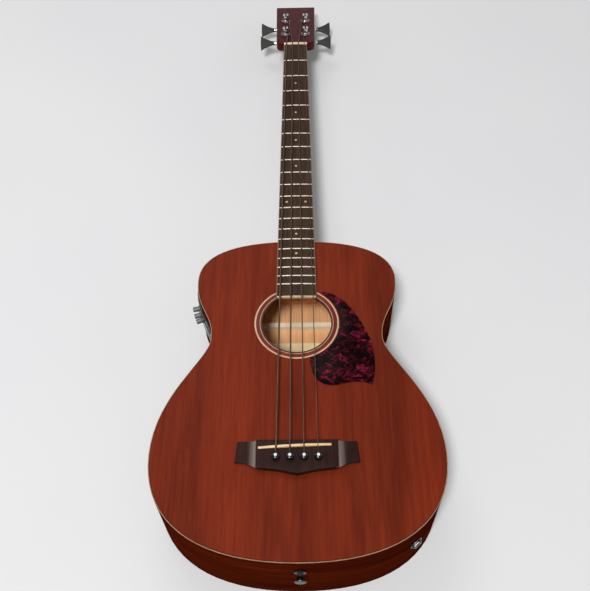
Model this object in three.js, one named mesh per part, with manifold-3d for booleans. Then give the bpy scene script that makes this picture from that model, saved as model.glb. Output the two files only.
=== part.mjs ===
// Acoustic bass guitar with a pickup, lying on its back. All lengths are in millimetres.
// Inside the group "guitar" the top of the body is the plane z = 0, y = 0 is the string side of the nut,
// +y runs to the headstock and +x is the treble side. The body is deeper at the tail than at the neck, so
// the group is tilted until the back lies level, and moved until the origin is under its middle.

import * as THREE from 'three';
import { mergeVertices } from 'three/addons/utils/BufferGeometryUtils.js';
import Module from 'manifold-3d';

const wasm = await Module();
wasm.setup();

// Clearances
const glueGap = 0.25; // between two pieces that are glued or screwed together
const runGap = 0.3; // between a moving piece and what carries it
const overrun = 1; // how far a cutting tool runs past the face that it cuts
const mergeDistance = 1e-4;

// Scale and fretboard
const scaleLength = 812.8;
const fretCount = 20;
const bodyFret = 15;
const fretsPerOctave = 12;
const nutWidth = 43;
const lastFretWidth = 59.1;
const boardOverhang = 18.2; // board beyond the last fret
const boardThickness = 6;
const camberRadius = 400;
const fretHeight = 1.1;
const fretWidth = 2.4;

// Body outline
const bodyLength = 495.5;
const upperBoutWidth = 295.4;
const upperBoutSetback = 74.2; // measured from the neck end of the body, like the next two
const waistWidth = 244.4;
const waistSetback = 175.5;
const lowerBoutWidth = 387.6;
const lowerBoutSetback = 355;
// How far each curve runs straight on before it turns, as a share of its own length or width.
const shoulderShares = [0.7, 0.63];
const flankShares = [0.515, 0.42];
const flareShares = [0.19, 0.5];
const tailShares = [0.61, 0.68];
const rimSteps = [6, 5, 7, 7]; // flat steps in each of those four curves

// Body depth and walls
const depthAtNeck = 100;
const depthAtTail = 120;
const backArch = 3;
const topThickness = 3.2;
const backThickness = 3;
const sideThickness = 2.4;
const bindingWidth = 2;
const bindingHeight = 5;
const liningWidth = 7;
const liningHeight = 14;

// Soundhole, rosette and pickguard
const soundholeSetback = 150.2; // centre, from the neck end of the body
const soundholeRadius = 50;
const rosetteInner = 52.4;
const rosetteOuter = 61;
const rosetteDepth = 1.2;
const pickguardThickness = 1.6;
const pickguardStandoff = 1.5; // from the edge of the rosette
// Pickguard outline round the soundhole's centre, in shares of the rosette's radius.
const pickguardStartShares = [0.63, 0.86];
const pickguardCurveShares = [
  [1.18, 0.79, 1.48, 0.13, 1.7, -0.47],
  [1.77, -0.74, 1.84, -1.28, 1.69, -1.68],
  [1.45, -1.58, 1.2, -1.6, 0.9, -1.69],
  [0.49, -1.75, 0.31, -1.44, 0.3, -1.01],
];

// Bridge, saddle and pins
const bridgeSetback = 338.5; // front edge, from the neck end of the body
const bridgeHeight = 9;
const bridgeWingHeight = 3.6;
const bridgeFrontHalf = 78;
const bridgeWingHalf = 81;
const bridgeWingDepth = 29;
const bridgeBellyDepth = 46;
const bridgeBlockHalf = 53; // the raised middle
const bridgeCoveWidth = 13; // the scooped step from the middle to each wing
// Rear edge of the bridge: shares of the wing's half width and of the belly's depth.
const bridgeRearShares = [
  [0.84, 0.65],
  [0.68, 0.79],
  [0.33, 0.88],
];
const saddleLength = 95;
const saddleThickness = 3.2;
const saddleSlotDepth = 6.6;
const saddleOffset = -3; // middle of the saddle, across the body
const saddleSetback = 8.8; // from the bridge's front edge
const saddleSlantDegrees = 2.5;
const piezoThickness = 1.5;
const piezoWidth = 2.7;
const pinSetback = 23.6; // from the bridge's front edge
const pinGap = 18.4;
const pinRadius = 2.6;
const pinTipRadius = 2.2;
const pinLength = 20;
const pinHeadRadius = 5.8;
const pinHeadHeight = 6.6;
const pinHeadShares = [
  [0.92, 0],
  [1, 0.2],
  [0.96, 0.5],
  [0.75, 0.8],
  [0.42, 0.95],
];
const pinSides = 10;
const ballRadius = 2.4;
const ballLength = 4.5;

// Strings, from the thickest
const stringRadii = [1.27, 1.08, 0.83, 0.57];
const nutStringGap = 11; // between the middles of two strings, like the next
const saddleStringGap = 18;
const firstFretClearance = 0.5; // string above the first frets, at the nut
const octaveClearance = 2.8; // string above the fret at the octave
const stringSides = 8;

// Neck
const neckDepthAtNut = 17.5;
const neckDepthAtBody = 21;
const nutThickness = 5.75;
const nutShoulder = 1.2; // nut above the bottom of its slots
const heelLength = 60; // how far the heel reaches along the neck under the board
const heelFoot = 15;
const heelFootHalf = 12;
const heelTopHalf = 26;
const heelTop = 3; // top of the heel below the fretboard
const tenonHalf = 10;
const tenonInnerHalf = 13;
const tenonDepth = 16;
const tenonTop = 13;
const tenonBottom = 72;
const trussWidth = 6;
const trussHeight = 9;
const trussSetback = 10; // from the nut
const trussNutRadius = 3.4;
const trussNutDrop = 9.6; // axis of the adjusting nut below the top of the body
const trussNutReach = 56; // adjusting nut beyond the neck end of the body
const trussNutGrip = 8; // and how far it reaches back into the neck

// Headstock
const headTiltDegrees = 13;
const headLength = 175;
const headShoulderHalf = 36;
const headTipHalf = 38.5;
const headThickness = 16;
const headFaceHeight = 2; // face above the neck's top, at the nut
const shoulderHeight = 6;
const shoulderRadius = 14;
const tipRadius = 2;
const voluteLength = 30;

// Tuning machines: a worm on the key's shaft turns a wheel on the post
const postAcross = 19;
const postNearNut = 46;
const postNearTip = 107;
const gearModule = 1;
const wheelTeeth = 20;
const wheelWidth = 6;
const wormPitchRadius = 4.5;
const wormLength = 13; // length of the threaded stretch
const wormStepsPerTurn = 12;
const pressureDegrees = 20;
const toothGap = 0.12; // taken off each wheel tooth
const threadGap = 0.35; // taken off the worm's thread
const tipClearance = 0.25;
const machinePlate = 2;
const gearDrop = 8.2; // from the head's back to the middle of the wheel
const postRadius = 4.75;
const postWaistRadius = 4.2;
const postCapRadius = 5.6;
const postHeight = 14;
const postCapHeight = 3;
const postSlotWidth = 3;
const postSlotDepth = 6;
const sleeveRadius = 6.4;
const washerRadius = 8.8;
const washerThickness = 1;
const hexRadius = 7.6;
const hexHeight = 1.8;
const machineHalfWidth = 10.5;
const machineFoot = 9; // plate beyond the post, towards the nut
const earThickness = 3;
const earHalf = 4.5;
const keyShaftRadius = 2.6;
const keyCollarRadius = 4;
const keyCollarStart = 18; // from the post's axis
const keyCollarLength = 4;
const keyReach = 27; // paddle, from the collar to its outer edge
const keyHalf = 14;
const keyNeckHalf = 3.2;
const keyThickness = 4;
const keyRestDegrees = 48;
const keyEdgeRadius = 1; // rounded edge of the paddle
const keyBowHeight = 1.5; // how far the outer edge bows out
const keyWaistShares = [0.45, 0.3]; // where each side of the paddle draws in
const roundSides = 12;
const hexSides = 6;
const smallSides = 8; // thin shafts and bores
const wideSides = 40; // soundhole and rosette

// Windings of string on the posts
const windingTurns = 1.5;
const windingStepsPerTurn = 24;
const windingSides = 6;
const windingGap = 0.6; // clear space between turns

// Braces, blocks and plates inside the body
const braceCrossingSetback = 229; // centre of the cross, from the neck end of the body
const longArmSetback = 71; // ends of the long arms, from the bridge's front edge
const shortArmGap = 15; // from the ends of the short arms to the upper brace
const braceEndGap = 16; // from the end of a long arm to the lining
const braceWidth = 7;
const braceHeight = 14;
const braceTipHeight = 4;
const toneBarGap = 8.4; // from the bridge plate
const toneBarLength = 230;
const toneBarHeight = 11;
const toneBarDegrees = 14;
const upperBraceSetback = 77;
const upperBraceWidth = 12;
const backBraceShares = [0.192, 0.392, 0.593, 0.795]; // places along the body
const backBraceWidth = 8;
const backBraceHeight = 13;
const braceTaper = 30; // length over which a brace thins towards its end
const plateThickness = 2.4;
const plateGap = 8.6; // from the arms to the bridge plate
const plateLead = 4; // bridge plate ahead of the bridge's front edge
const plateDepth = 52;
const neckBlockHalf = 30;
const neckBlockDepth = 46;
const tailBlockHalf = 34;
const tailBlockDepth = 18;

// End pin and output jack
const endPinHeight = -32;
const endPinAcross = 3; // to the treble side of the middle
const endPinShaft = 4;
const endPinLength = 22;
const endPinFlange = 7.5;
const endPinWaist = 4.4;
const endPinReach = 14;
const endPinRim = 2.2;
const jackShare = 0.485; // along the curve from the lower bout to the tail
const jackHeight = -47;
const jackBarrel = 6;
const jackDepth = 26;
const jackBore = 3.3;
const jackFlange = 9.5;
const jackFlangeThickness = 1.5;
const jackNut = 7.6;
const jackNutHeight = 2.6;

// Preamp, let into the bass side between the upper bout and the waist
const panelShares = [0.03, 0.86]; // its ends, along the flank
const panelHeight = -40;
const panelHalf = 22;
const panelThickness = 2;
const caseShare = 0.44;
const caseLength = 70;
const caseHalf = 17;
const caseDepth = 56;
const caseProud = 8; // blank that is trimmed back to the panel's curve
const knobShares = [0.19, 0.295, 0.39];
const knobOffset = 4; // knobs above the middle of the panel
const knobRadius = 3.9;
const knobHeight = 10;
const knobSkirt = 4.6;
const knobSkirtHeight = 2;
const knobShaft = 1.6;
const knobShaftLength = 5;
const trayShare = 0.62; // middle of the battery tray, along the flank
const trayLength = 27;
const trayHalf = 9;
const trayDepth = 50;
const trayLip = 1.2;
const buttonShare = 0.16;
const buttonDrop = 11; // tuner button below the middle of the panel
const buttonLength = 7;
const buttonHalf = 2.2;
const buttonHeight = 1.6;
const buttonDepth = 3;

// Values worked out from the sizes above

const fretY = (fret) => -scaleLength * (1 - 2 ** (-fret / fretsPerOctave));
const neckEnd = fretY(bodyFret);
const tailEnd = neckEnd - bodyLength;
const upperHalf = upperBoutWidth / 2;
const waistHalf = waistWidth / 2;
const lowerHalf = lowerBoutWidth / 2;
const taper = (depthAtTail - depthAtNeck) / bodyLength;
const boardEnd = fretY(fretCount) - boardOverhang;
const boardWidening = (lastFretWidth - nutWidth) / fretY(fretCount);
const boardHalf = (y) => (nutWidth + boardWidening * y) / 2;
const boardTop = glueGap + boardThickness;
const camber = (x) => x ** 2 / (2 * camberRadius);
const fretTop = boardTop + fretHeight;
const slotBottom = fretTop + firstFretClearance;
const stringRise = (fretTop + octaveClearance - slotBottom) / -fretY(fretsPerOctave);
const soundholeY = neckEnd - soundholeSetback;
const bridgeFront = neckEnd - bridgeSetback;
const bridgeTop = glueGap + bridgeHeight;
const saddleY = bridgeFront - saddleSetback;
const saddleSlant = THREE.MathUtils.degToRad(saddleSlantDegrees);
const saddleTop = slotBottom - saddleY * stringRise;
const pinY = bridgeFront - pinSetback;
const headTilt = THREE.MathUtils.degToRad(headTiltDegrees);
const innerTop = -topThickness - glueGap;
const xLine = neckEnd - braceCrossingSetback;
const longArmRun = xLine - bridgeFront + longArmSetback;
const braceAngle = Math.atan2(lowerHalf - sideThickness - liningWidth - braceEndGap, longArmRun);
const longArm = longArmRun / Math.cos(braceAngle);
const shortArmEnd = neckEnd - upperBraceSetback - upperBraceWidth / 2 - shortArmGap;
const shortArm = (shortArmEnd - xLine) / Math.cos(braceAngle);
const plateFront = bridgeFront + plateLead;
const plateRear = plateFront - plateDepth;
const plateHalf =
  (xLine - plateFront) * Math.tan(braceAngle) - braceWidth / 2 / Math.cos(braceAngle) - plateGap;
const toneBarY = plateRear - toneBarGap; // where the tone bar starts on the bass arm
const reach = lowerBoutWidth; // longer than any tool that only has to pass right through the body

const backZ = (x, y) => -depthAtNeck - (neckEnd - y) * taper - backArch * (1 - (x / lowerHalf) ** 2);
const innerBack = (x, y) => backZ(x, y) + backThickness + glueGap;

// Solids

const point = (x, y, z) => new THREE.Vector3(x, y, z);

function solidOf(geometry) {
  const loose = geometry.index ? geometry.toNonIndexed() : geometry;
  const bare = new THREE.BufferGeometry();
  bare.setAttribute('position', loose.getAttribute('position'));
  const merged = mergeVertices(bare, mergeDistance);
  const corners = merged.index.array;
  const places = merged.getAttribute('position');
  const [a, b, c] = [point(), point(), point()];
  const faces = [];
  let volume = 0;
  for (let i = 0; i < corners.length; i += 3) {
    const [p, q, r] = corners.slice(i, i + 3);
    if (p === q || q === r || r === p) continue;
    faces.push([p, q, r]);
    a.fromBufferAttribute(places, p);
    b.fromBufferAttribute(places, q);
    c.fromBufferAttribute(places, r);
    volume += a.dot(b.cross(c));
  }
  if (volume < 0) faces.forEach((face) => face.reverse());
  return new wasm.Manifold(
    new wasm.Mesh({
      numProp: 3,
      vertProperties: places.array,
      triVerts: new Uint32Array(faces.flat()),
    }),
  );
}

function geometryOf(solid) {
  const mesh = solid.getMesh();
  const geometry = new THREE.BufferGeometry();
  geometry.setAttribute('position', new THREE.Float32BufferAttribute(mesh.vertProperties, 3));
  geometry.setIndex([...mesh.triVerts]);
  geometry.computeVertexNormals();
  return geometry;
}

const join = (first, ...rest) => rest.reduce((sum, next) => sum.add(next), first);
const cut = (first, ...tools) => tools.reduce((sum, next) => sum.subtract(next), first);
const common = (first, ...rest) => rest.reduce((sum, next) => sum.intersect(next), first);

// A skin over rings of points, closed at both ends, or joined end to end.
function loft(rings, endless = false) {
  const count = rings[0].length;
  const corners = [];
  const stitches = endless ? rings.length : rings.length - 1;
  for (let i = 0; i < stitches; i++) {
    const here = rings[i];
    const next = rings[(i + 1) % rings.length];
    for (let j = 0; j < count; j++) {
      const k = (j + 1) % count;
      corners.push(here[j], here[k], next[k], here[j], next[k], next[j]);
    }
  }
  if (!endless) {
    const last = rings[rings.length - 1];
    for (let j = 1; j < count - 1; j++) {
      corners.push(rings[0][0], rings[0][j + 1], rings[0][j], last[0], last[j], last[j + 1]);
    }
  }
  return solidOf(new THREE.BufferGeometry().setFromPoints(corners));
}

function box(x0, x1, y0, y1, z0, z1) {
  const geometry = new THREE.BoxGeometry(x1 - x0, y1 - y0, z1 - z0);
  return solidOf(geometry.translate((x0 + x1) / 2, (y0 + y1) / 2, (z0 + z1) / 2));
}

function prism(shape, z0, z1, steps = 8) {
  const geometry = new THREE.ExtrudeGeometry(shape, {
    depth: z1 - z0,
    bevelEnabled: false,
    curveSegments: steps,
  });
  return solidOf(geometry.translate(0, 0, z0));
}

function polygon(points) {
  return new THREE.Shape(points.map(([x, y]) => new THREE.Vector2(x, y)));
}

// A round bar from one point to another.
function bar(from, to, radius, sides = roundSides, endRadius = radius) {
  const along = to.clone().sub(from);
  const geometry = new THREE.CylinderGeometry(endRadius, radius, along.length(), sides);
  geometry.applyQuaternion(
    new THREE.Quaternion().setFromUnitVectors(point(0, 1, 0), along.normalize()),
  );
  const middle = from.clone().add(to).divideScalar(2);
  return solidOf(geometry.translate(middle.x, middle.y, middle.z));
}

// A turned piece: [radius, height] pairs, spun round the z axis.
function turned(profile, sides = roundSides) {
  const outline = profile.map(([r, z]) => new THREE.Vector2(r, z));
  return new THREE.LatheGeometry(outline, sides).rotateX(Math.PI / 2);
}

// A round wire through a list of points, with each bend mitred.
function wire(points, radius, sides) {
  let side = null;
  const rings = points.map((here, i) => {
    const before = points[Math.max(i - 1, 0)];
    const after = points[Math.min(i + 1, points.length - 1)];
    const arrive = here.clone().sub(before).normalize();
    const leave = after.clone().sub(here).normalize();
    const along = arrive.clone().add(leave).normalize();
    const straight = leave.lengthSq() > 0 ? leave : arrive;
    if (!side) side = point(straight.z, 0, -straight.x).normalize();
    side = side.clone().addScaledVector(along, -side.dot(along)).normalize();
    const up = along.clone().cross(side);
    const bend = arrive.clone().sub(leave);
    const stretch = 1 / Math.max(along.dot(straight), 0.5) - 1;
    const bending = bend.lengthSq() > 0 ? bend.normalize() : bend;
    return Array.from({ length: sides }, (_, k) => {
      const angle = (2 * Math.PI * k) / sides;
      const offset = side.clone().multiplyScalar(radius * Math.cos(angle));
      offset.addScaledVector(up, radius * Math.sin(angle));
      offset.addScaledVector(bending, offset.dot(bending) * stretch);
      return here.clone().add(offset);
    });
  });
  return loft(rings);
}

// Outline of the body

function bout(from, to, [leaveShare, arriveShare], acrossAtStart, acrossAtEnd) {
  const step = to.clone().sub(from);
  const leave = acrossAtStart ? [step.x * leaveShare, 0] : [0, step.y * leaveShare];
  const arrive = acrossAtEnd ? [step.x * arriveShare, 0] : [0, step.y * arriveShare];
  return new THREE.CubicBezierCurve(
    from,
    from.clone().add(new THREE.Vector2(...leave)),
    to.clone().sub(new THREE.Vector2(...arrive)),
    to,
  );
}

const neckCorner = new THREE.Vector2(0, neckEnd);
const upperCorner = new THREE.Vector2(upperHalf, neckEnd - upperBoutSetback);
const waistCorner = new THREE.Vector2(waistHalf, neckEnd - waistSetback);
const lowerCorner = new THREE.Vector2(lowerHalf, neckEnd - lowerBoutSetback);
const tailCorner = new THREE.Vector2(0, tailEnd);
const flank = bout(upperCorner, waistCorner, flankShares, false, false);
const tailCurve = bout(lowerCorner, tailCorner, tailShares, false, true);
const bouts = [
  bout(neckCorner, upperCorner, shoulderShares, true, false),
  flank,
  bout(waistCorner, lowerCorner, flareShares, false, false),
  tailCurve,
];

// A place on the treble half of the outline, with the direction that faces out of the body.
function rimPlace(curve, share) {
  const { x, y } = curve.getPoint(share);
  const tangent = curve.getTangent(share);
  return { x, y, outX: -tangent.y, outY: tangent.x };
}

const trebleRim = bouts.flatMap((curve, i) =>
  Array.from({ length: rimSteps[i] }, (_, k) => rimPlace(curve, k / rimSteps[i])),
);
trebleRim[0] = { x: 0, y: neckEnd, outX: 0, outY: 1 };
trebleRim.push({ x: 0, y: tailEnd, outX: 0, outY: -1 });
const mirror = (place) => ({ ...place, x: -place.x, outX: -place.outX });
const bassRim = trebleRim.map(mirror);
const wholeRim = [...trebleRim, ...bassRim.slice(1, -1).reverse()];

const inset = (place, depth) => [place.x - place.outX * depth, place.y - place.outY * depth];

// A strip that follows the rim. Each corner of its section is an inset and a height function.
function rimStrip(places, section, endless = false) {
  return loft(
    places.map((place) =>
      section.map(([depth, height]) => {
        const [x, y] = inset(place, depth);
        return point(x, y, height(x, y));
      }),
    ),
    endless,
  );
}

// A plate with the body's outline, its upper and lower faces given as heights.
const acrossShares = [-1, -0.62, -0.25, 0.25, 0.62, 1];
function bodySlab(depth, upper, lower) {
  return loft(
    trebleRim.map((place) => {
      const [half, y] = inset(place, depth);
      const across = acrossShares.map((share) => share * half);
      const above = across.map((x) => point(x, y, upper(x, y)));
      const below = across.map((x) => point(x, y, lower(x, y))).reverse();
      return [...above, ...below];
    }),
  );
}

const level = (height) => () => height;
const cavity = bodySlab(sideThickness + glueGap, level(innerTop), innerBack);
const braceRoom = bodySlab(sideThickness + liningWidth + 2 * glueGap, level(innerTop), innerBack);

// Where the strings run, as a route in the guitar's frame and a place on the headstock

const headFrame = new THREE.Matrix4()
  .makeTranslation(0, nutThickness + glueGap, headFaceHeight)
  .multiply(new THREE.Matrix4().makeRotationX(-headTilt));
const headPlaces = [
  { side: -1, along: postNearNut, name: 'low_e' },
  { side: -1, along: postNearTip, name: 'a' },
  { side: 1, along: postNearTip, name: 'd' },
  { side: 1, along: postNearNut, name: 'g' },
];
const windingBase = washerThickness + hexHeight + 2 * glueGap;

function stringRoute(index) {
  const radius = stringRadii[index];
  const lane = index - (stringRadii.length - 1) / 2;
  const { side, along } = headPlaces[index];
  const turnRadius = postWaistRadius + runGap + radius;
  const height = windingBase + radius;
  const nutX = lane * nutStringGap;
  const saddleX = lane * saddleStringGap;
  const pinX = lane * pinGap;
  const crest = point(nutX, nutThickness / 2, slotBottom - camber(nutX) + radius + glueGap);
  const onHead = crest.clone().applyMatrix4(headFrame.clone().invert());
  const towards = new THREE.Vector2(onHead.x - side * postAcross, onHead.y - along);
  const spread = Math.acos(turnRadius / towards.length());
  const touch = towards.angle() - side * spread;
  const wrapStart = point(
    side * postAcross + turnRadius * Math.cos(touch),
    along + turnRadius * Math.sin(touch),
    height,
  );
  const rest = point(
    saddleX,
    saddleY + (saddleX - saddleOffset) * Math.tan(saddleSlant),
    saddleTop - camber(saddleX - saddleOffset) + radius + glueGap,
  );
  const mouth = pinY + pinHeadRadius + 2 * runGap + radius;
  const drop = pinY + pinRadius + runGap + radius;
  const under = innerTop - plateThickness - 2 * glueGap - ballRadius;
  return {
    radius,
    side,
    along,
    turnRadius,
    height,
    touch,
    pinX,
    nutX,
    crest,
    rest,
    drop,
    mouth,
    under,
    points: [
      point(pinX, drop, under),
      point(pinX, drop, innerTop),
      point(pinX, mouth, bridgeTop + radius),
      rest,
      crest,
      wrapStart.applyMatrix4(headFrame),
    ],
  };
}

const routes = stringRadii.map((_, index) => stringRoute(index));

// A pin hole with the notch in front of it that the string comes through.
function pinHole({ radius, pinX, mouth }) {
  const hole = bar(point(pinX, pinY, -reach), point(pinX, pinY, reach), pinRadius + runGap, pinSides);
  const half = radius + runGap;
  return join(hole, box(pinX - half, pinX + half, pinY, mouth + half, -reach, reach));
}
const pinHoles = routes.map(pinHole);

// Body

function disc(radius, z0, z1, sides) {
  return bar(point(0, soundholeY, z0), point(0, soundholeY, z1), radius, sides);
}

function makeSoundboard() {
  const edge = bindingWidth + glueGap;
  const board = prism(polygon(wholeRim.map((place) => inset(place, edge))), -topThickness, 0);
  const groove = cut(
    disc(rosetteOuter + glueGap, -rosetteDepth - glueGap, overrun, wideSides),
    disc(rosetteInner - glueGap, -topThickness, 2 * overrun, wideSides),
  );
  return cut(board, disc(soundholeRadius, -topThickness - overrun, overrun, wideSides), groove, ...pinHoles);
}

function makeRosette() {
  return cut(
    disc(rosetteOuter, -rosetteDepth, 0, wideSides),
    disc(rosetteInner, -topThickness, overrun, wideSides),
  );
}

const makeBackPlate = () =>
  bodySlab(bindingWidth + glueGap, (x, y) => backZ(x, y) + backThickness, backZ);

const underBinding = level(-bindingHeight - glueGap);
const overBinding = (x, y) => backZ(x, y) + bindingHeight + glueGap;

// The groove for the neck's dovetail, or the dovetail itself, in plan.
function dovetail(clearance) {
  const face = neckEnd + overrun;
  const inner = neckEnd - tenonDepth - clearance;
  const plan = polygon([
    [-tenonHalf - clearance, face],
    [-tenonInnerHalf - clearance, inner],
    [tenonInnerHalf + clearance, inner],
    [tenonHalf + clearance, face],
  ]);
  return prism(plan, -tenonBottom - clearance, -tenonTop + clearance);
}

const trussHole = bar(
  point(0, neckEnd - reach, -trussNutDrop),
  point(0, neckEnd + trussNutGrip + glueGap, -trussNutDrop),
  trussNutRadius + glueGap,
  smallSides,
);

const endPinHole = bar(
  point(endPinAcross, tailEnd - overrun, endPinHeight),
  point(endPinAcross, tailEnd + endPinLength + overrun, endPinHeight),
  endPinShaft + glueGap,
  roundSides,
);

const jackPlace = rimPlace(tailCurve, jackShare);
const jackOut = point(jackPlace.outX, jackPlace.outY, 0);
const jackPoint = point(jackPlace.x, jackPlace.y, jackHeight);
const jackHole = bar(
  jackPoint.clone().addScaledVector(jackOut, -jackDepth),
  jackPoint.clone().addScaledVector(jackOut, jackDepth),
  jackBarrel + glueGap,
);

function makeSide(rim) {
  const wall = rimStrip(rim, [
    [0, underBinding],
    [0, overBinding],
    [sideThickness, overBinding],
    [sideThickness, underBinding],
  ]);
  const seam = box(-glueGap / 2, glueGap / 2, tailEnd - overrun, neckEnd + overrun, -reach, reach);
  return cut(wall, seam, dovetail(glueGap), trussHole, endPinHole);
}

const makeTopBinding = () =>
  rimStrip(
    wholeRim,
    [
      [0, level(0)],
      [0, level(-bindingHeight)],
      [bindingWidth, level(-bindingHeight)],
      [bindingWidth, level(0)],
    ],
    true,
  );

const makeBackBinding = () =>
  rimStrip(
    wholeRim,
    [
      [0, backZ],
      [0, (x, y) => backZ(x, y) + bindingHeight],
      [bindingWidth, (x, y) => backZ(x, y) + bindingHeight],
      [bindingWidth, backZ],
    ],
    true,
  );

const neckBlockRoom = box(
  -neckBlockHalf,
  neckBlockHalf,
  neckEnd - sideThickness - neckBlockDepth,
  neckEnd,
  -reach,
  reach,
);
const tailBlockRoom = box(
  -tailBlockHalf,
  tailBlockHalf,
  tailEnd,
  tailEnd + sideThickness + tailBlockDepth,
  -reach,
  reach,
);
const besideBlocks = [
  box(
    -neckBlockHalf - glueGap,
    neckBlockHalf + glueGap,
    neckEnd - sideThickness - neckBlockDepth,
    neckEnd,
    -reach,
    reach,
  ),
  box(
    -tailBlockHalf - glueGap,
    tailBlockHalf + glueGap,
    tailEnd,
    tailEnd + sideThickness + tailBlockDepth,
    -reach,
    reach,
  ),
];

// The lining is deep at the plate that it carries and thin at its free edge.
function makeLining(rim, atPlate, away) {
  const outer = sideThickness + glueGap;
  const tip = outer + liningWidth / 3;
  const strip = rimStrip(rim, [
    [outer, atPlate],
    [outer, away],
    [tip, away],
    [outer + liningWidth, atPlate],
  ]);
  return cut(strip, ...besideBlocks);
}
const topLiningEdges = [level(innerTop), level(innerTop - liningHeight)];
const backLiningEdges = [innerBack, (x, y) => innerBack(x, y) + liningHeight];

const makeNeckBlock = () => cut(common(cavity, neckBlockRoom), dovetail(2 * glueGap), trussHole);
const makeTailBlock = () => cut(common(cavity, tailBlockRoom), endPinHole);

// Braces

// A brace along the x axis with its glued edge up: full height in the middle and thinned at both ends.
function braceBlank(before, after, width, height) {
  const profile = polygon([
    [-before, 0],
    [-before, -braceTipHeight],
    [-before + braceTaper, -height],
    [after - braceTaper, -height],
    [after, -braceTipHeight],
    [after, 0],
  ]);
  const geometry = new THREE.ExtrudeGeometry(profile, { depth: width, bevelEnabled: false });
  return geometry.rotateX(Math.PI / 2).translate(0, width / 2, 0);
}

function makeTopBracing() {
  const legs = [-1, 1].map((side) =>
    braceBlank(shortArm, longArm, braceWidth, braceHeight)
      .rotateZ(side * braceAngle - Math.PI / 2)
      .translate(0, xLine, innerTop),
  );
  const tone = braceBlank(braceTipHeight, toneBarLength, braceWidth, toneBarHeight)
    .rotateZ(-THREE.MathUtils.degToRad(toneBarDegrees))
    .translate((toneBarY - xLine) * Math.tan(braceAngle), toneBarY, innerTop);
  return common(join(...legs.map(solidOf), solidOf(tone)), braceRoom);
}

function makeUpperBrace() {
  const blank = braceBlank(upperHalf, upperHalf, upperBraceWidth, braceHeight);
  const placed = solidOf(blank.translate(0, neckEnd - upperBraceSetback, innerTop));
  return cut(common(placed, braceRoom), trussHole);
}

function makeBackBrace(share) {
  const y = neckEnd - share * bodyLength;
  const blank = braceBlank(lowerHalf, lowerHalf, backBraceWidth, backBraceHeight);
  return common(solidOf(blank.rotateX(Math.PI).translate(0, y, innerBack(0, y))), braceRoom);
}

function makeBridgePlate() {
  const bottom = innerTop - plateThickness;
  return cut(box(-plateHalf, plateHalf, plateRear, plateFront, bottom, innerTop), ...pinHoles);
}

// Pickguard

function makePickguard() {
  const shape = new THREE.Shape();
  const placed = (x, y) => [x * rosetteOuter, soundholeY + y * rosetteOuter];
  shape.moveTo(...placed(0, 0));
  shape.lineTo(...placed(...pickguardStartShares));
  pickguardCurveShares.forEach(([ax, ay, bx, by, x, y]) =>
    shape.bezierCurveTo(...placed(ax, ay), ...placed(bx, by), ...placed(x, y)),
  );
  const sheet = prism(shape, glueGap, glueGap + pickguardThickness, 6);
  const room = disc(rosetteOuter + pickguardStandoff, -overrun, pickguardThickness + overrun, wideSides);
  return cut(sheet, room);
}

// Bridge

// The saddle's slot or the pieces in it: a bar on the saddle's slanted line.
function alongSaddle(geometry) {
  return solidOf(geometry.rotateZ(saddleSlant).translate(saddleOffset, saddleY, 0));
}

function saddleBox(length, width, z0, z1) {
  const geometry = new THREE.BoxGeometry(length, width, z1 - z0);
  return alongSaddle(geometry.translate(0, 0, (z0 + z1) / 2));
}
const slotFloor = bridgeTop - saddleSlotDepth;

function makeBridge() {
  const wingTop = glueGap + bridgeWingHeight;
  const profile = new THREE.Shape();
  profile.moveTo(-bridgeWingHalf, glueGap);
  profile.lineTo(bridgeWingHalf, glueGap);
  profile.lineTo(bridgeWingHalf, wingTop);
  profile.lineTo(bridgeBlockHalf + bridgeCoveWidth, wingTop);
  profile.quadraticCurveTo(bridgeBlockHalf, wingTop, bridgeBlockHalf, bridgeTop);
  profile.lineTo(-bridgeBlockHalf, bridgeTop);
  profile.quadraticCurveTo(-bridgeBlockHalf, wingTop, -bridgeBlockHalf - bridgeCoveWidth, wingTop);
  profile.lineTo(-bridgeWingHalf, wingTop);
  const shelf = new THREE.ExtrudeGeometry(profile, {
    depth: bridgeBellyDepth,
    bevelEnabled: false,
    curveSegments: 5,
  });
  shelf.rotateX(Math.PI / 2).translate(0, bridgeFront, 0);
  const rear = [
    [bridgeWingHalf, bridgeFront - bridgeWingDepth],
    ...bridgeRearShares.map(([x, y]) => [x * bridgeWingHalf, bridgeFront - y * bridgeBellyDepth]),
  ];
  const plan = polygon([
    [-bridgeFrontHalf, bridgeFront],
    [bridgeFrontHalf, bridgeFront],
    ...rear,
    [0, bridgeFront - bridgeBellyDepth],
    ...rear.reverse().map(([x, y]) => [-x, y]),
  ]);
  const slot = saddleBox(
    saddleLength + 2 * glueGap,
    saddleThickness + 2 * glueGap,
    slotFloor,
    bridgeTop + overrun,
  );
  return cut(common(solidOf(shelf), prism(plan, 0, bridgeTop + overrun)), slot, ...pinHoles);
}

function makePiezo() {
  const bottom = slotFloor + glueGap;
  return saddleBox(saddleLength, piezoWidth, bottom, bottom + piezoThickness);
}

function makeSaddle() {
  const bottom = slotFloor + piezoThickness + 2 * glueGap;
  const half = saddleThickness / 2;
  const crown = saddleThickness / 4;
  const stations = [-1, -0.6, -0.2, 0.2, 0.6, 1];
  const rings = stations.map((share) => {
    const x = (share * saddleLength) / 2;
    const top = saddleTop - camber(x);
    return [
      point(x, -half, bottom),
      point(x, half, bottom),
      point(x, half, top - crown),
      point(x, 0, top),
      point(x, -half, top - crown),
    ].map((corner) => corner.applyAxisAngle(point(0, 0, 1), saddleSlant));
  });
  const shift = point(saddleOffset, saddleY, 0);
  return loft(rings.map((ring) => ring.map((corner) => corner.add(shift))));
}

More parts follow.
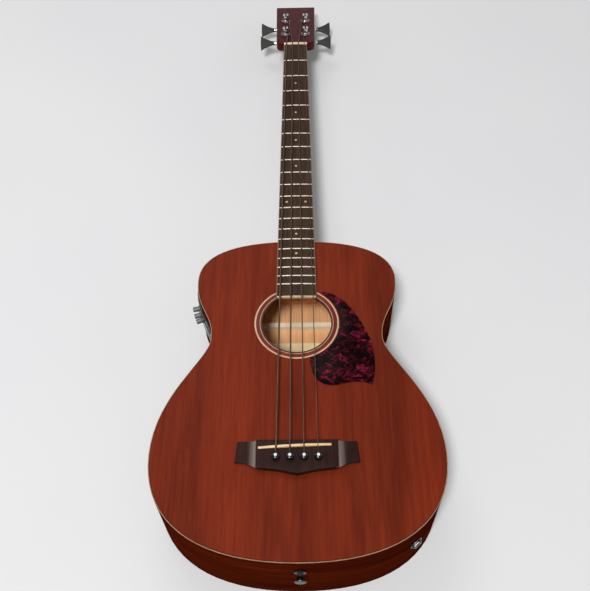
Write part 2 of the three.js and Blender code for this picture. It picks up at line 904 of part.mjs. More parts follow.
function makePin() {
  const head = pinHeadShares.map(([r, z]) => [r * pinHeadRadius, glueGap + z * pinHeadHeight]);
  return turned(
    [
      [0, -pinLength],
      [pinTipRadius, -pinLength],
      [pinRadius, glueGap],
      ...head,
      [0, glueGap + pinHeadHeight],
    ],
    pinSides,
  );
}

// Strings

function makeString({ points, radius, pinX, under }) {
  const ballY = pinY + pinRadius + runGap + ballRadius;
  const ball = bar(
    point(pinX - ballLength / 2, ballY, under),
    point(pinX + ballLength / 2, ballY, under),
    ballRadius,
    stringSides,
  );
  return join(wire(points, radius, stringSides), ball);
}

// The space that a winding sweeps as its post turns.
function windingRoom({ side, along, turnRadius, radius }) {
  const axis = (height) => point(side * postAcross, along, height).applyMatrix4(headFrame);
  return bar(axis(0), axis(postHeight), turnRadius + radius + runGap, roundSides);
}

function windingPoints({ side, touch, turnRadius, height, radius }) {
  const steps = Math.round(windingTurns * windingStepsPerTurn);
  const climb = (2 * radius + windingGap) / windingStepsPerTurn;
  return Array.from({ length: steps + 1 }, (_, k) => {
    const angle = touch - (side * 2 * Math.PI * k) / windingStepsPerTurn;
    return point(turnRadius * Math.cos(angle), turnRadius * Math.sin(angle), height + climb * k);
  });
}

// The least clear space between one turn and the next.
function leastGap(points, radius) {
  const half = windingStepsPerTurn / 2;
  const gaps = points.flatMap((here, i) => points.slice(i + half).map((there) => here.distanceTo(there)));
  return Math.min(...gaps) - 2 * radius;
}

// Fretboard and nut

function makeFretboard() {
  const topShares = [1, 0, -1];
  const ring = (y, lift) => {
    const half = boardHalf(y);
    return [
      point(-half, y, glueGap),
      point(half, y, glueGap),
      ...topShares.map((share) => point(share * half, y, boardTop + lift - camber(share * half))),
    ];
  };
  const rings = [ring(-glueGap, 0)];
  for (let fret = 1; fret <= fretCount; fret++) {
    const y = fretY(fret);
    rings.push(ring(y + fretWidth / 2, 0), ring(y, fretHeight), ring(y - fretWidth / 2, 0));
  }
  rings.push(ring(boardEnd, 0));
  return loft(rings);
}

function makeNut() {
  const half = nutWidth / 2;
  const front = slotBottom + nutShoulder;
  const rings = [-1, -0.5, 0, 0.5, 1].map((share) => {
    const x = share * half;
    return [
      point(x, 0, glueGap),
      point(x, nutThickness, glueGap),
      point(x, nutThickness, front - nutShoulder - camber(x)),
      point(x, 0, front - camber(x)),
    ];
  });
  const slots = routes.map(({ points, radius }) =>
    wire(points.slice(3), radius + glueGap, stringSides),
  );
  return cut(loft(rings), ...slots);
}

// Neck and headstock

function neckRing(y, half, top, depth) {
  const steps = 8;
  return Array.from({ length: steps + 1 }, (_, k) => {
    const angle = (Math.PI * k) / steps;
    return point(half * Math.cos(angle), y, top - depth * Math.sin(angle));
  });
}

function makeShaft() {
  const depth = (y) => neckDepthAtNut + ((neckDepthAtBody - neckDepthAtNut) * y) / neckEnd;
  const stations = [neckEnd - heelTop, fretY(9), fretY(4), 0];
  const rings = stations.map((y) => neckRing(y, boardHalf(y), 0, depth(y)));
  const seat = nutThickness + glueGap;
  const tilt = Math.tan(headTilt);
  // Behind the nut the shaft runs out under the face of the headstock.
  rings.push(neckRing(seat, boardHalf(0), 0, neckDepthAtNut));
  [0.4, 1].forEach((share) => {
    const along = share * voluteLength;
    const top = -along * tilt - headFaceHeight;
    const bottom = -neckDepthAtNut - along * tilt * share;
    rings.push(neckRing(seat + along, boardHalf(0) * (1 - share / 4), top, top - bottom));
  });
  return loft(rings);
}

function makeHeel() {
  const rings = [0, 0.16, 0.34, 0.55, 0.78, 1].map((share) => {
    const z = -heelTop - share * (depthAtNeck - heelTop);
    const half = heelFootHalf + (heelTopHalf - heelFootHalf) * (1 - share) ** 2.4;
    const long = heelFoot + (heelLength - heelFoot) * (1 - share) ** 3;
    const side = [
      [half, -heelTop],
      [half, long * 0.35],
      [half * 0.72, long * 0.8],
    ];
    const mirrored = side.map(([x, y]) => [-x, y]).reverse();
    return [...side, [0, long], ...mirrored].map(([x, y]) => point(x, neckEnd + y, z));
  });
  return loft(rings);
}

function makeHead() {
  const shape = new THREE.Shape();
  const neckHalf = nutWidth / 2;
  const corner = headShoulderHalf - shoulderRadius;
  shape.moveTo(neckHalf, 0);
  shape.lineTo(corner, shoulderHeight);
  shape.quadraticCurveTo(headShoulderHalf, shoulderHeight, headShoulderHalf, shoulderHeight + shoulderRadius);
  shape.lineTo(headTipHalf, headLength - tipRadius);
  shape.quadraticCurveTo(headTipHalf, headLength, headTipHalf - tipRadius, headLength);
  shape.lineTo(tipRadius - headTipHalf, headLength);
  shape.quadraticCurveTo(-headTipHalf, headLength, -headTipHalf, headLength - tipRadius);
  shape.lineTo(-headShoulderHalf, shoulderHeight + shoulderRadius);
  shape.quadraticCurveTo(-headShoulderHalf, shoulderHeight, -corner, shoulderHeight);
  shape.lineTo(-neckHalf, 0);
  const geometry = new THREE.ExtrudeGeometry(shape, {
    depth: headThickness,
    bevelEnabled: false,
    curveSegments: 4,
  });
  return solidOf(geometry.translate(0, 0, -headThickness).applyMatrix4(headFrame));
}

function makeNeck() {
  const whole = join(makeShaft(), makeHeel(), makeHead());
  const bodyRoom = bodySlab(-glueGap, level(overrun), (x, y) => backZ(x, y) - overrun);
  const half = trussWidth / 2 + glueGap;
  const channel = box(-half, half, neckEnd - reach, -trussSetback + glueGap, -trussHeight - glueGap, reach);
  const sleeves = headPlaces.map(({ side, along }) => {
    const [low, high] = [-1, 1].map((end) => point(side * postAcross, along, end * 2 * headThickness));
    return bar(low.applyMatrix4(headFrame), high.applyMatrix4(headFrame), sleeveRadius + glueGap);
  });
  const nutRoom = box(-nutWidth, nutWidth, -nutThickness, nutThickness + glueGap, 0, headThickness);
  return cut(join(cut(whole, bodyRoom), dovetail(0)), nutRoom, channel, trussHole, ...sleeves);
}

function makeTrussRod() {
  const half = trussWidth / 2;
  const rod = box(-half, half, neckEnd + 2 * glueGap, -trussSetback, -trussHeight, -glueGap);
  const nut = bar(
    point(0, neckEnd + trussNutGrip, -trussNutDrop),
    point(0, neckEnd - trussNutReach, -trussNutDrop),
    trussNutRadius,
    hexSides,
  );
  return join(rod, nut);
}

// Tuning machines. Each stands on its own frame: the post's axis is z, the face of the headstock is
// z = 0, the nut is towards -y and the key is towards +x.

const pressure = Math.tan(THREE.MathUtils.degToRad(pressureDegrees));
const wheelRadius = (gearModule * wheelTeeth) / 2;
const dedendum = gearModule + tipClearance;
const shaftY = wheelRadius + wormPitchRadius;
const shaftZ = -headThickness - gearDrop;
const lead = Math.PI * gearModule;
const hexTop = glueGap + washerThickness + hexHeight;
const plateTop = -headThickness - glueGap;
const plateBottom = plateTop - machinePlate;
const wheelTop = shaftZ + wheelWidth / 2;
const earStart = wormLength / 2 + washerThickness;

function makeMachinePlate() {
  const stack = join(
    bar(point(0, 0, glueGap), point(0, 0, glueGap + washerThickness), washerRadius),
    bar(point(0, 0, glueGap), point(0, 0, hexTop), hexRadius, hexSides),
    bar(point(0, 0, wheelTop + runGap), point(0, 0, hexTop / 2), sleeveRadius),
  );
  const far = shaftY + earHalf + glueGap;
  const plate = box(-machineHalfWidth, machineHalfWidth, -machineFoot, far, plateBottom, plateTop);
  const low = shaftZ - earHalf;
  const ears = [-1, 1].map((end) => {
    const [x0, x1] = end > 0 ? [earStart, earStart + earThickness] : [-earStart - earThickness, -earStart];
    const cheek = box(x0, x1, shaftY - earHalf, shaftY + earHalf, shaftZ, plateTop - glueGap);
    return join(cheek, bar(point(x0, shaftY, shaftZ), point(x1, shaftY, shaftZ), shaftZ - low));
  });
  const bore = bar(point(0, 0, -reach), point(0, 0, reach), postRadius + runGap);
  const bearing = bar(
    point(-reach, shaftY, shaftZ),
    point(reach, shaftY, shaftZ),
    keyShaftRadius + runGap,
  );
  return cut(join(stack, plate, ...ears), bore, bearing);
}

// The wheel's teeth lean with the worm's thread.
function makeWheel() {
  const pitchHalf = lead / 4 - toothGap / 2;
  const rootHalf = pitchHalf + dedendum * pressure;
  const tipHalf = pitchHalf - gearModule * pressure;
  const root = wheelRadius - dedendum;
  const tip = wheelRadius + gearModule;
  const outline = Array.from({ length: wheelTeeth }, (_, tooth) => {
    const angle = Math.PI / 2 + (2 * Math.PI * (tooth + 1 / 2)) / wheelTeeth;
    const [cos, sin] = [Math.cos(angle), Math.sin(angle)];
    return [[root, -rootHalf], [tip, -tipHalf], [tip, tipHalf], [root, rootHalf]].map(([r, t]) => [
      r * cos - t * sin,
      r * sin + t * cos,
    ]);
  });
  const geometry = new THREE.ExtrudeGeometry(polygon(outline.flat()), {
    depth: wheelWidth,
    bevelEnabled: false,
  });
  geometry.translate(0, 0, -wheelWidth / 2);
  const lean = lead / (2 * Math.PI * wormPitchRadius * wheelRadius);
  const places = geometry.getAttribute('position');
  const here = point();
  for (let i = 0; i < places.count; i++) {
    here.fromBufferAttribute(places, i);
    here.applyAxisAngle(point(0, 0, 1), lean * here.z);
    places.setXYZ(i, here.x, here.y, here.z);
  }
  return solidOf(geometry.translate(0, 0, shaftZ));
}

function makePost() {
  const foot = shaftZ - wheelWidth / 2;
  const capBottom = postHeight - postCapHeight;
  const edge = postCapHeight / 4;
  const stem = solidOf(
    turned([
      [0, foot - edge],
      [postWaistRadius, foot - edge],
      [postWaistRadius, foot],
      [postRadius, foot + edge],
      [postRadius, hexTop - edge],
      [postWaistRadius, hexTop],
      [postWaistRadius, capBottom],
      [postCapRadius, capBottom + edge],
      [postCapRadius, postHeight - edge],
      [postCapRadius - edge, postHeight],
      [0, postHeight],
    ]),
  );
  const half = postSlotWidth / 2;
  const slot = box(-half, half, -reach, reach, postHeight - postSlotDepth, postHeight + overrun);
  return cut(join(stem, makeWheel()), slot);
}

function makeWorm() {
  const halfSteps = Math.round(((wormLength / lead - 1) * wormStepsPerTurn) / 2);
  const core = wormPitchRadius - dedendum;
  const sunk = core - tipClearance * 2;
  const tip = wormPitchRadius + gearModule;
  const pitchHalf = (lead / 2 - threadGap) / 2;
  const halfAt = (radius) => pitchHalf - (radius - wormPitchRadius) * pressure;
  const section = [
    [sunk, -halfAt(sunk)],
    [sunk, halfAt(sunk)],
    [tip, halfAt(tip)],
    [tip, -halfAt(tip)],
  ];
  const rings = Array.from({ length: 2 * halfSteps + 1 }, (_, k) => {
    const turn = (2 * Math.PI * (k - halfSteps)) / wormStepsPerTurn;
    const angle = Math.PI + turn;
    return section.map(([radius, shift]) =>
      point((lead * turn) / (2 * Math.PI) + shift, radius * Math.cos(angle), radius * Math.sin(angle)),
    );
  });
  const half = wormLength / 2 + washerThickness - runGap;
  return join(bar(point(-half, 0, 0), point(half, 0, 0), core, wormStepsPerTurn), loft(rings));
}

function makeKeyPaddle() {
  const start = keyCollarStart + keyCollarLength;
  const end = start + keyReach;
  const [waistAlong, waistAcross] = keyWaistShares;
  const waistX = start + waistAlong * keyReach;
  const waistY = waistAcross * keyHalf;
  const shape = new THREE.Shape();
  shape.moveTo(start, -keyNeckHalf);
  shape.quadraticCurveTo(waistX, -waistY, end, -keyHalf);
  shape.quadraticCurveTo(end + keyBowHeight, 0, end, keyHalf);
  shape.quadraticCurveTo(waistX, waistY, start, keyNeckHalf);
  const flat = keyThickness - 2 * keyEdgeRadius;
  const geometry = new THREE.ExtrudeGeometry(shape, {
    depth: flat,
    bevelThickness: keyEdgeRadius,
    bevelSize: keyEdgeRadius,
    bevelOffset: -keyEdgeRadius,
    bevelSegments: 1,
    curveSegments: 4,
  });
  geometry.translate(0, 0, -flat / 2).rotateX(THREE.MathUtils.degToRad(keyRestDegrees));
  return solidOf(geometry);
}

function makeKey() {
  const end = earStart + earThickness;
  const collarEnd = keyCollarStart + keyCollarLength;
  const key = join(
    makeWorm(),
    bar(point(-end - runGap, 0, 0), point(collarEnd + keyNeckHalf, 0, 0), keyShaftRadius, smallSides),
    bar(point(-end - 4 * runGap, 0, 0), point(-end - runGap, 0, 0), keyNeckHalf, smallSides),
    bar(point(keyCollarStart, 0, 0), point(collarEnd, 0, 0), keyCollarRadius, roundSides),
    makeKeyPaddle(),
  );
  return geometryOf(key).translate(0, shaftY, shaftZ);
}

// End pin and output jack. Both are turned with their outer end towards +z.

function makeEndPin() {
  const neckStart = glueGap + endPinRim;
  return turned(
    [
      [0, -endPinLength],
      [endPinShaft, -endPinLength],
      [endPinShaft, glueGap],
      [endPinFlange, glueGap],
      [endPinFlange, neckStart],
      [endPinWaist, 2 * neckStart],
      [endPinWaist, endPinReach - 2 * neckStart],
      [endPinFlange, endPinReach - neckStart / 2],
      [endPinFlange, endPinReach - glueGap],
      [endPinWaist, endPinReach],
      [0, endPinReach],
    ],
    roundSides,
  );
}

function makeJack() {
  const flangeTop = glueGap + jackFlangeThickness;
  const nutTop = flangeTop + jackNutHeight;
  const whole = join(
    bar(point(0, 0, -jackDepth), point(0, 0, nutTop + jackFlangeThickness / 2), jackBarrel),
    bar(point(0, 0, glueGap), point(0, 0, flangeTop), jackFlange, 2 * smallSides),
    bar(point(0, 0, flangeTop - glueGap), point(0, 0, nutTop), jackNut, hexSides),
  );
  return cut(whole, bar(point(0, 0, -jackDepth * 0.7), point(0, 0, reach), jackBore));
}

// Preamp. Its pieces are let into the bass side.

const flankPlace = (share) => mirror(rimPlace(flank, share));

// Turns a piece whose z axis leaves the body so that it stands on a place on the rim.
function standOn(object, place, height) {
  object.position.set(place.x, place.y, height);
  object.quaternion.setFromUnitVectors(point(0, 0, 1), point(place.outX, place.outY, 0));
  return object;
}

// A block at a place on the rim, given along it, out of it and upwards.
function rimBlock(place, along, out, up) {
  const spans = [along, out, up];
  const geometry = new THREE.BoxGeometry(...spans.map(([low, high]) => high - low));
  geometry.translate(...spans.map(([low, high]) => (low + high) / 2));
  geometry.rotateZ(Math.atan2(place.outY, place.outX) - Math.PI / 2);
  return solidOf(geometry.translate(place.x, place.y, panelHeight));
}

const casePlace = flankPlace(caseShare);
const trayPlace = flankPlace(trayShare);
const buttonPlace = flankPlace(buttonShare);
const panelFace = glueGap + panelThickness;
const halfSpan = (size, clearance = 0) => [-size / 2 - clearance, size / 2 + clearance];
const buttonUp = [-buttonDrop - buttonHalf, -buttonDrop + buttonHalf];

function makePreampCase() {
  const [start, end] = panelShares.map((share) => flankPlace(share).y);
  const top = panelHeight + panelHalf;
  const bottom = panelHeight - panelHalf;
  const sheet = cut(
    bodySlab(-panelFace, level(top), level(bottom)),
    bodySlab(-glueGap, level(top + overrun), level(bottom - overrun)),
  );
  const panel = common(sheet, box(-reach, 0, end, start, bottom, top));
  const blank = rimBlock(casePlace, halfSpan(caseLength), [-caseDepth, caseProud], [-caseHalf, caseHalf]);
  const inside = bodySlab(-glueGap - panelThickness / 2, level(0), level(-depthAtTail));
  const knobHoles = knobShares.map((share) => {
    const place = flankPlace(share);
    const out = point(place.outX, place.outY, 0);
    const origin = point(place.x, place.y, panelHeight + knobOffset);
    const deep = origin.clone().addScaledVector(out, panelFace - knobShaftLength - runGap);
    return bar(deep, origin.addScaledVector(out, caseProud), knobShaft + runGap, smallSides);
  });
  const trayRoom = rimBlock(
    trayPlace,
    halfSpan(trayLength, runGap),
    [-trayDepth - runGap, caseProud],
    halfSpan(2 * trayHalf, runGap),
  );
  const buttonRoom = rimBlock(
    buttonPlace,
    halfSpan(buttonLength, runGap),
    [panelFace - buttonDepth - buttonHeight, caseProud],
    [buttonUp[0] - runGap, buttonUp[1] + runGap],
  );
  return cut(join(panel, common(blank, inside)), ...knobHoles, trayRoom, buttonRoom);
}

const makeCaseOpening = () =>
  rimBlock(
    casePlace,
    halfSpan(caseLength, glueGap),
    [-caseDepth, caseProud],
    halfSpan(2 * caseHalf, glueGap),
  );

const makeTray = () =>
  rimBlock(trayPlace, halfSpan(trayLength), [-trayDepth, panelFace + trayLip], [-trayHalf, trayHalf]);

const makeButton = () =>
  rimBlock(
    buttonPlace,
    halfSpan(buttonLength),
    [panelFace - buttonDepth, panelFace + buttonHeight],
    buttonUp,
  );

function makeKnob() {
  const base = panelFace + runGap;
  const skirtTop = base + knobSkirtHeight;
  const top = base + knobHeight;
  return turned([
    [0, base - knobShaftLength],
    [knobShaft, base - knobShaftLength],
    [knobShaft, base],
    [knobSkirt, base],
    [knobSkirt, skirtTop],
    [knobRadius, skirtTop],
    [knobRadius, top - knobShaft / 2],
    [knobRadius - knobShaft / 2, top],
    [0, top],
  ]);
}

// Assembly

const finish = (color, roughness, metalness = 0) =>
  new THREE.MeshStandardMaterial({ color, roughness, metalness });
const mahogany = () => finish(0x7c2b1a, 0.5);
const darkMahogany = () => finish(0x4a1a12, 0.45);
const spruce = () => finish(0xd8b98a, 0.7);
const cream = () => finish(0xe6cfa8, 0.4);
const rosewood = () => finish(0x3b2725, 0.6);
const chrome = () => finish(0xc9cbcc, 0.2, 1);
const blackPlastic = () => finish(0x161618, 0.4);
const bronze = () => finish(0x7a6450, 0.35, 1);

function piece(name, solid, material) {
  const geometry = solid.isBufferGeometry ? solid : geometryOf(solid);
  const mesh = new THREE.Mesh(geometry, material);
  mesh.name = name;
  return mesh;
}

const guitar = new THREE.Group();

guitar.add(
  piece('soundboard', makeSoundboard(), mahogany()),
  piece('back_plate', makeBackPlate(), darkMahogany()),
  piece('treble_side', cut(makeSide(trebleRim), jackHole), darkMahogany()),
  piece('bass_side', cut(makeSide(bassRim), makeCaseOpening()), darkMahogany()),
  piece('top_binding', makeTopBinding(), cream()),
  piece('back_binding', makeBackBinding(), cream()),
  piece('neck_block', makeNeckBlock(), spruce()),
  piece('tail_block', makeTailBlock(), spruce()),
  piece('treble_top_lining', makeLining(trebleRim, ...topLiningEdges), spruce()),
  piece('bass_top_lining', makeLining(bassRim, ...topLiningEdges), spruce()),
  piece('treble_back_lining', makeLining(trebleRim, ...backLiningEdges), spruce()),
  piece('bass_back_lining', makeLining(bassRim, ...backLiningEdges), spruce()),
  piece('top_bracing', makeTopBracing(), spruce()),
  piece('upper_brace', makeUpperBrace(), spruce()),
  piece('bridge_plate', makeBridgePlate(), rosewood()),
  piece('rosette', makeRosette(), cream()),
  piece('pickguard', makePickguard(), finish(0x3a1018, 0.25)),
  piece('bridge', makeBridge(), rosewood()),
  piece('saddle', makeSaddle(), cream()),
  piece('saddle_pickup', makePiezo(), chrome()),
  piece('neck', makeNeck(), darkMahogany()),
  piece('truss_rod', makeTrussRod(), chrome()),
  piece('fretboard', makeFretboard(), rosewood()),
  piece('nut', makeNut(), cream()),
);

backBraceShares.forEach((share, i) => {
  guitar.add(piece(`back_brace_${i + 1}`, makeBackBrace(share), spruce()));
});

const pinGeometry = makePin();
routes.forEach(({ pinX }, i) => {
  const pin = piece(`bridge_pin_${headPlaces[i].name}`, pinGeometry, blackPlastic());
  pin.position.set(pinX, pinY, bridgeTop);
  guitar.add(pin);
});

const tailPlace = { x: endPinAcross, y: tailEnd, outX: 0, outY: -1 };
guitar.add(
  standOn(piece('end_pin', makeEndPin(), chrome()), tailPlace, endPinHeight),
  standOn(piece('output_jack', makeJack(), chrome()), jackPlace, jackHeight),
);

guitar.add(
  piece('preamp_case', makePreampCase(), blackPlastic()),
  piece('battery_tray', makeTray(), blackPlastic()),
  piece('tuner_button', makeButton(), finish(0x8a8c8e, 0.4)),
);
const knobGeometry = makeKnob();
['volume_knob', 'treble_knob', 'bass_knob'].forEach((name, i) => {
  const knob = piece(name, knobGeometry, chrome());
  guitar.add(standOn(knob, flankPlace(knobShares[i]), panelHeight + knobOffset));
});

const head = new THREE.Group();
headFrame.decompose(head.position, head.quaternion, head.scale);
guitar.add(head);
const machineGeometry = geometryOf(makeMachinePlate());
const postGeometry = geometryOf(makePost());
const keyGeometry = makeKey();
routes.forEach((route, i) => {
  const { side, along, radius } = route;
  const { name } = headPlaces[i];
  const machine = new THREE.Group();
  machine.position.set(side * postAcross, along, 0);
  machine.scale.x = side;
  machine.add(
    piece(`tuner_plate_${name}`, machineGeometry, chrome()),
    piece(`tuner_post_${name}`, postGeometry, chrome()),
    piece(`tuner_key_${name}`, keyGeometry, chrome()),
  );
  const turns = windingPoints(route);
  const winding = piece(`string_winding_${name}`, wire(turns, radius, windingSides), bronze());
  winding.position.copy(machine.position);
  head.add(machine, winding);
  const string = cut(makeString(route), windingRoom(route));
  guitar.add(piece(`string_${name}`, string, bronze()));
  console.log(`string_winding_${name}: least gap to itself ${leastGap(turns, radius).toFixed(2)} mm`);
});

// The back is set level, and the origin under the middle of the whole guitar.
guitar.rotation.x = -Math.atan(taper);
const bounds = new THREE.Box3().setFromObject(guitar, true);
const middle = bounds.getCenter(point());
guitar.position.set(-middle.x, -middle.y, -bounds.min.z);

const acousticBass = new THREE.Group();
acousticBass.add(guitar);

export default acousticBass;
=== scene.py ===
"""Looks of an acoustic bass guitar that lies on its back.

Sizes are in millimetres in the guitar's own frame: the top of the body is z = 0, y = 0 is the string side
of the nut, +y runs to the headstock and +x is the treble side. lay_down turns that frame into the scene's
metres.
"""

import math

import bmesh
import bpy
from mathutils import Matrix, Quaternion, Vector


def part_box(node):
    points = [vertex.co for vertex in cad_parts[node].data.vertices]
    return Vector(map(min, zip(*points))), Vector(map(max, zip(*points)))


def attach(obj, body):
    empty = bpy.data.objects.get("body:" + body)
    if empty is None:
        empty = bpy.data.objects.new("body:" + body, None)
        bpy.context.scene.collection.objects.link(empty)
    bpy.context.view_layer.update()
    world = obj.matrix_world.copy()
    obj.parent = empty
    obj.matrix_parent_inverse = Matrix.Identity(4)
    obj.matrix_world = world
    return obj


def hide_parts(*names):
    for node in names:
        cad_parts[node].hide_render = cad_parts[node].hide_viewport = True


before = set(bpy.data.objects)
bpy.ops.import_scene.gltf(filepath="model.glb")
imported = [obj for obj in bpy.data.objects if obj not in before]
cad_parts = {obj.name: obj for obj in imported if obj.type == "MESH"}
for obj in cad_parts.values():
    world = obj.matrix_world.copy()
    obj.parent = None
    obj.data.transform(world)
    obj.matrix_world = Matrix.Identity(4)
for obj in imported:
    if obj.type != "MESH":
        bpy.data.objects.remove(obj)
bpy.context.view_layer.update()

# Sizes shared with the solids

scale_length = 812.8
body_fret = 15
fret_count = 20
frets_per_octave = 12
dotted_frets = (3, 5, 7, 9, 12, 15, 17)
nut_width = 43.0
last_fret_width = 59.1
board_overhang = 22.7
board_thickness = 6.0
camber_radius = 400.0
fret_height = 1.1
fret_width = 2.4
glue_gap = 0.25
run_gap = 0.3

body_length = 495.5
upper_half, upper_setback = 147.7, 74.2
waist_half, waist_setback = 122.2, 175.5
lower_half, lower_setback = 193.8, 355.0
depth_at_neck, depth_at_tail, back_arch = 100.0, 120.0, 3.0
top_thickness, back_thickness, side_thickness = 3.2, 3.0, 2.4
binding_width, binding_height = 2.0, 5.0
soundhole_setback, soundhole_radius = 150.2, 50.0

head_tilt = math.radians(13)
head_face_height = 2.0
head_length, head_thickness = 175.0, 16.0
nut_thickness = 5.75
nut_seat_end = nut_thickness + glue_gap
neck_depth_at_nut, neck_depth_at_body = 17.5, 21.0

bridge_setback, bridge_height, bridge_wing_height = 338.5, 9.0, 3.6
pin_setback, pin_gap = 23.6, 18.4
pin_radius, pin_head_radius = 2.6, 5.8
string_radii = (1.27, 1.08, 0.83, 0.57)
string_names = ("low_e", "a", "d", "g")


def fret_y(fret):
    return -scale_length * (1 - 2 ** (-fret / frets_per_octave))


neck_end = fret_y(body_fret)
tail_end = neck_end - body_length
taper = (depth_at_tail - depth_at_neck) / body_length
board_top = glue_gap + board_thickness
board_end = fret_y(fret_count) - board_overhang
soundhole_y = neck_end - soundhole_setback
bridge_front = neck_end - bridge_setback
bridge_top = glue_gap + bridge_height
pin_y = bridge_front - pin_setback


def board_half(y):
    return (nut_width + (last_fret_width - nut_width) * y / fret_y(fret_count)) / 2


def camber(x):
    return x**2 / (2 * camber_radius)


tilt = math.atan(taper)
binding_low, binding_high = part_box("top_binding")
origin_y = binding_low.y * 1000 - tail_end * math.cos(tilt) + binding_height * math.sin(tilt)
origin_z = binding_high.z * 1000 + tail_end * math.sin(tilt)
origin = Vector((0, origin_y, origin_z))
lay_down = Matrix.Scale(0.001, 4) @ Matrix.Translation(origin) @ Matrix.Rotation(-tilt, 4, "X")
head_frame = Matrix.Translation((0, nut_seat_end, head_face_height)) @ Matrix.Rotation(-head_tilt, 4, "X")


def in_scene(name, data):
    """An object of that name in the scene, from a mesh, curve, lamp or camera."""
    thing = bpy.data.objects.new(name, data)
    bpy.context.scene.collection.objects.link(thing)
    return thing


# Camera

sensor_width = 36
focal_pixels = 798.8  # of the photograph, which is 591 pixels on its longer side
photo_pixels = 591
photo_middle = (295, 295.5)
photo_centre = (285.0, 301.8)  # pixel that the lens points at
camera_place = Vector((11.79, -1255.58, 962.80))
camera_pitch = math.radians(34.858)  # from straight down towards the headstock
camera_yaw = math.radians(1.401)
camera_roll = math.radians(0.622)
nearest_seen = 0.05


def place_camera():
    across = Vector((1, 0, 0))
    ahead = Vector((0, math.sin(camera_pitch), -math.cos(camera_pitch)))
    up = Vector((0, math.cos(camera_pitch), math.sin(camera_pitch)))
    yaw = Quaternion(up, camera_yaw)
    across, ahead = yaw @ across, yaw @ ahead
    roll = Quaternion(ahead, camera_roll)
    across, up = roll @ across, roll @ up
    camera = bpy.data.cameras.new("photo_camera")
    camera.sensor_width = sensor_width
    camera.lens = sensor_width * focal_pixels / photo_pixels
    camera.shift_x = (photo_middle[0] - photo_centre[0]) / photo_pixels
    camera.shift_y = (photo_centre[1] - photo_middle[1]) / photo_pixels
    camera.clip_start = nearest_seen
    holder = in_scene("photo_camera", camera)
    aim = Matrix((across, up, -ahead)).transposed().to_4x4()
    turn = Matrix.Rotation(-tilt, 4, "X")
    holder.matrix_world = Matrix.Translation(lay_down @ camera_place) @ turn @ aim
    bpy.context.scene.camera = holder


place_camera()

# Making meshes

merge_distance = 0.002
wire_sides = 16


def tidy(bm, name):
    """A mesh of what was made, its doubled points merged and its faces turned outwards."""
    bmesh.ops.remove_doubles(bm, verts=bm.verts, dist=merge_distance)
    bmesh.ops.recalc_face_normals(bm, faces=bm.faces)
    mesh = bpy.data.meshes.new(name)
    bm.to_mesh(mesh)
    bm.free()
    return mesh


def skin(rings, endless=False):
    """A skin over rings of points, closed at its ends, or joined end to end."""
    bm = bmesh.new()
    rows = [[bm.verts.new(p) for p in ring] for ring in rings]
    count = len(rows[0])
    pairs = list(zip(rows, rows[1:] + rows[:1])) if endless else list(zip(rows, rows[1:]))
    for here, there in pairs:
        for j in range(count):
            k = (j + 1) % count
            bm.faces.new((here[j], here[k], there[k], there[j]))
    if not endless:
        bm.faces.new(rows[0])
        bm.faces.new(rows[-1])
    return tidy(bm, "skin")


def round_angles(steps):
    return [2 * math.pi * k / steps for k in range(steps)]


def turned(profile, steps=48):
    """A turned piece: (radius, height) pairs spun round z, from axis to axis or back to the first pair."""
    bm = bmesh.new()
    angles = round_angles(steps)
    rows = [[bm.verts.new((r * math.cos(a), r * math.sin(a), z)) for a in angles] for r, z in profile]
    for here, there in zip(rows, rows[1:]):
        for j in range(steps):
            k = (j + 1) % steps
            bm.faces.new((here[j], here[k], there[k], there[j]))
    return tidy(bm, "turned")


def wire(points, radius):
    """A round wire through points, with its length so far kept in the attribute run."""
    points = [Vector(p) for p in points]
    steps = [(b - a).normalized() for a, b in zip(points, points[1:])]
    lengths = [0.0]
    for a, b in zip(points, points[1:]):
        lengths.append(lengths[-1] + (b - a).length)
    side = steps[0].orthogonal().normalized()
    sides = wire_sides
    verts, run = [], []
    for i, here in enumerate(points):
        arrive, leave = steps[max(i - 1, 0)], steps[min(i, len(steps) - 1)]
        along = (arrive + leave).normalized()
        side = (side - along * side.dot(along)).normalized()
        up = along.cross(side)
        for a in round_angles(sides):
            verts.append(here + radius * (side * math.cos(a) + up * math.sin(a)))
            run.append(lengths[i])
    faces = []
    for i in range(len(points) - 1):
        for j in range(sides):
            k = (j + 1) % sides
            faces.append((i * sides + j, i * sides + k, (i + 1) * sides + k, (i + 1) * sides + j))
    last = (len(points) - 1) * sides
    faces += [tuple(reversed(range(sides))), tuple(range(last, last + sides))]
    mesh = bpy.data.meshes.new("wire")
    mesh.from_pydata(verts, [], faces)
    mesh.attributes.new("run", "FLOAT", "POINT").data.foreach_set("value", run)
    return mesh


def turn_to(direction):
    """The turn that takes +z to a direction."""
    return Vector((0, 0, 1)).rotation_difference(Vector(direction))


def bar(start, end, radius, steps=32):
    start, end = Vector(start), Vector(end)
    length = (end - start).length
    mesh = turned([(0, 0), (radius, 0), (radius, length), (0, length)], steps)
    mesh.transform(Matrix.Translation(start) @ turn_to(end - start).to_matrix().to_4x4())
    return mesh


def block(x0, x1, y0, y1, z0, z1):
    return skin([[(x, y0, z0), (x, y1, z0), (x, y1, z1), (x, y0, z1)] for x in (x0, x1)])


def span(half, middle=0.0):
    """The two ends of a length that lies evenly about its middle."""
    return middle - half, middle + half


def plain_mesh(holder):
    """What an object's settings and modifiers make, as a plain mesh."""
    return bpy.data.meshes.new_from_object(holder.evaluated_get(bpy.context.evaluated_depsgraph_get()))


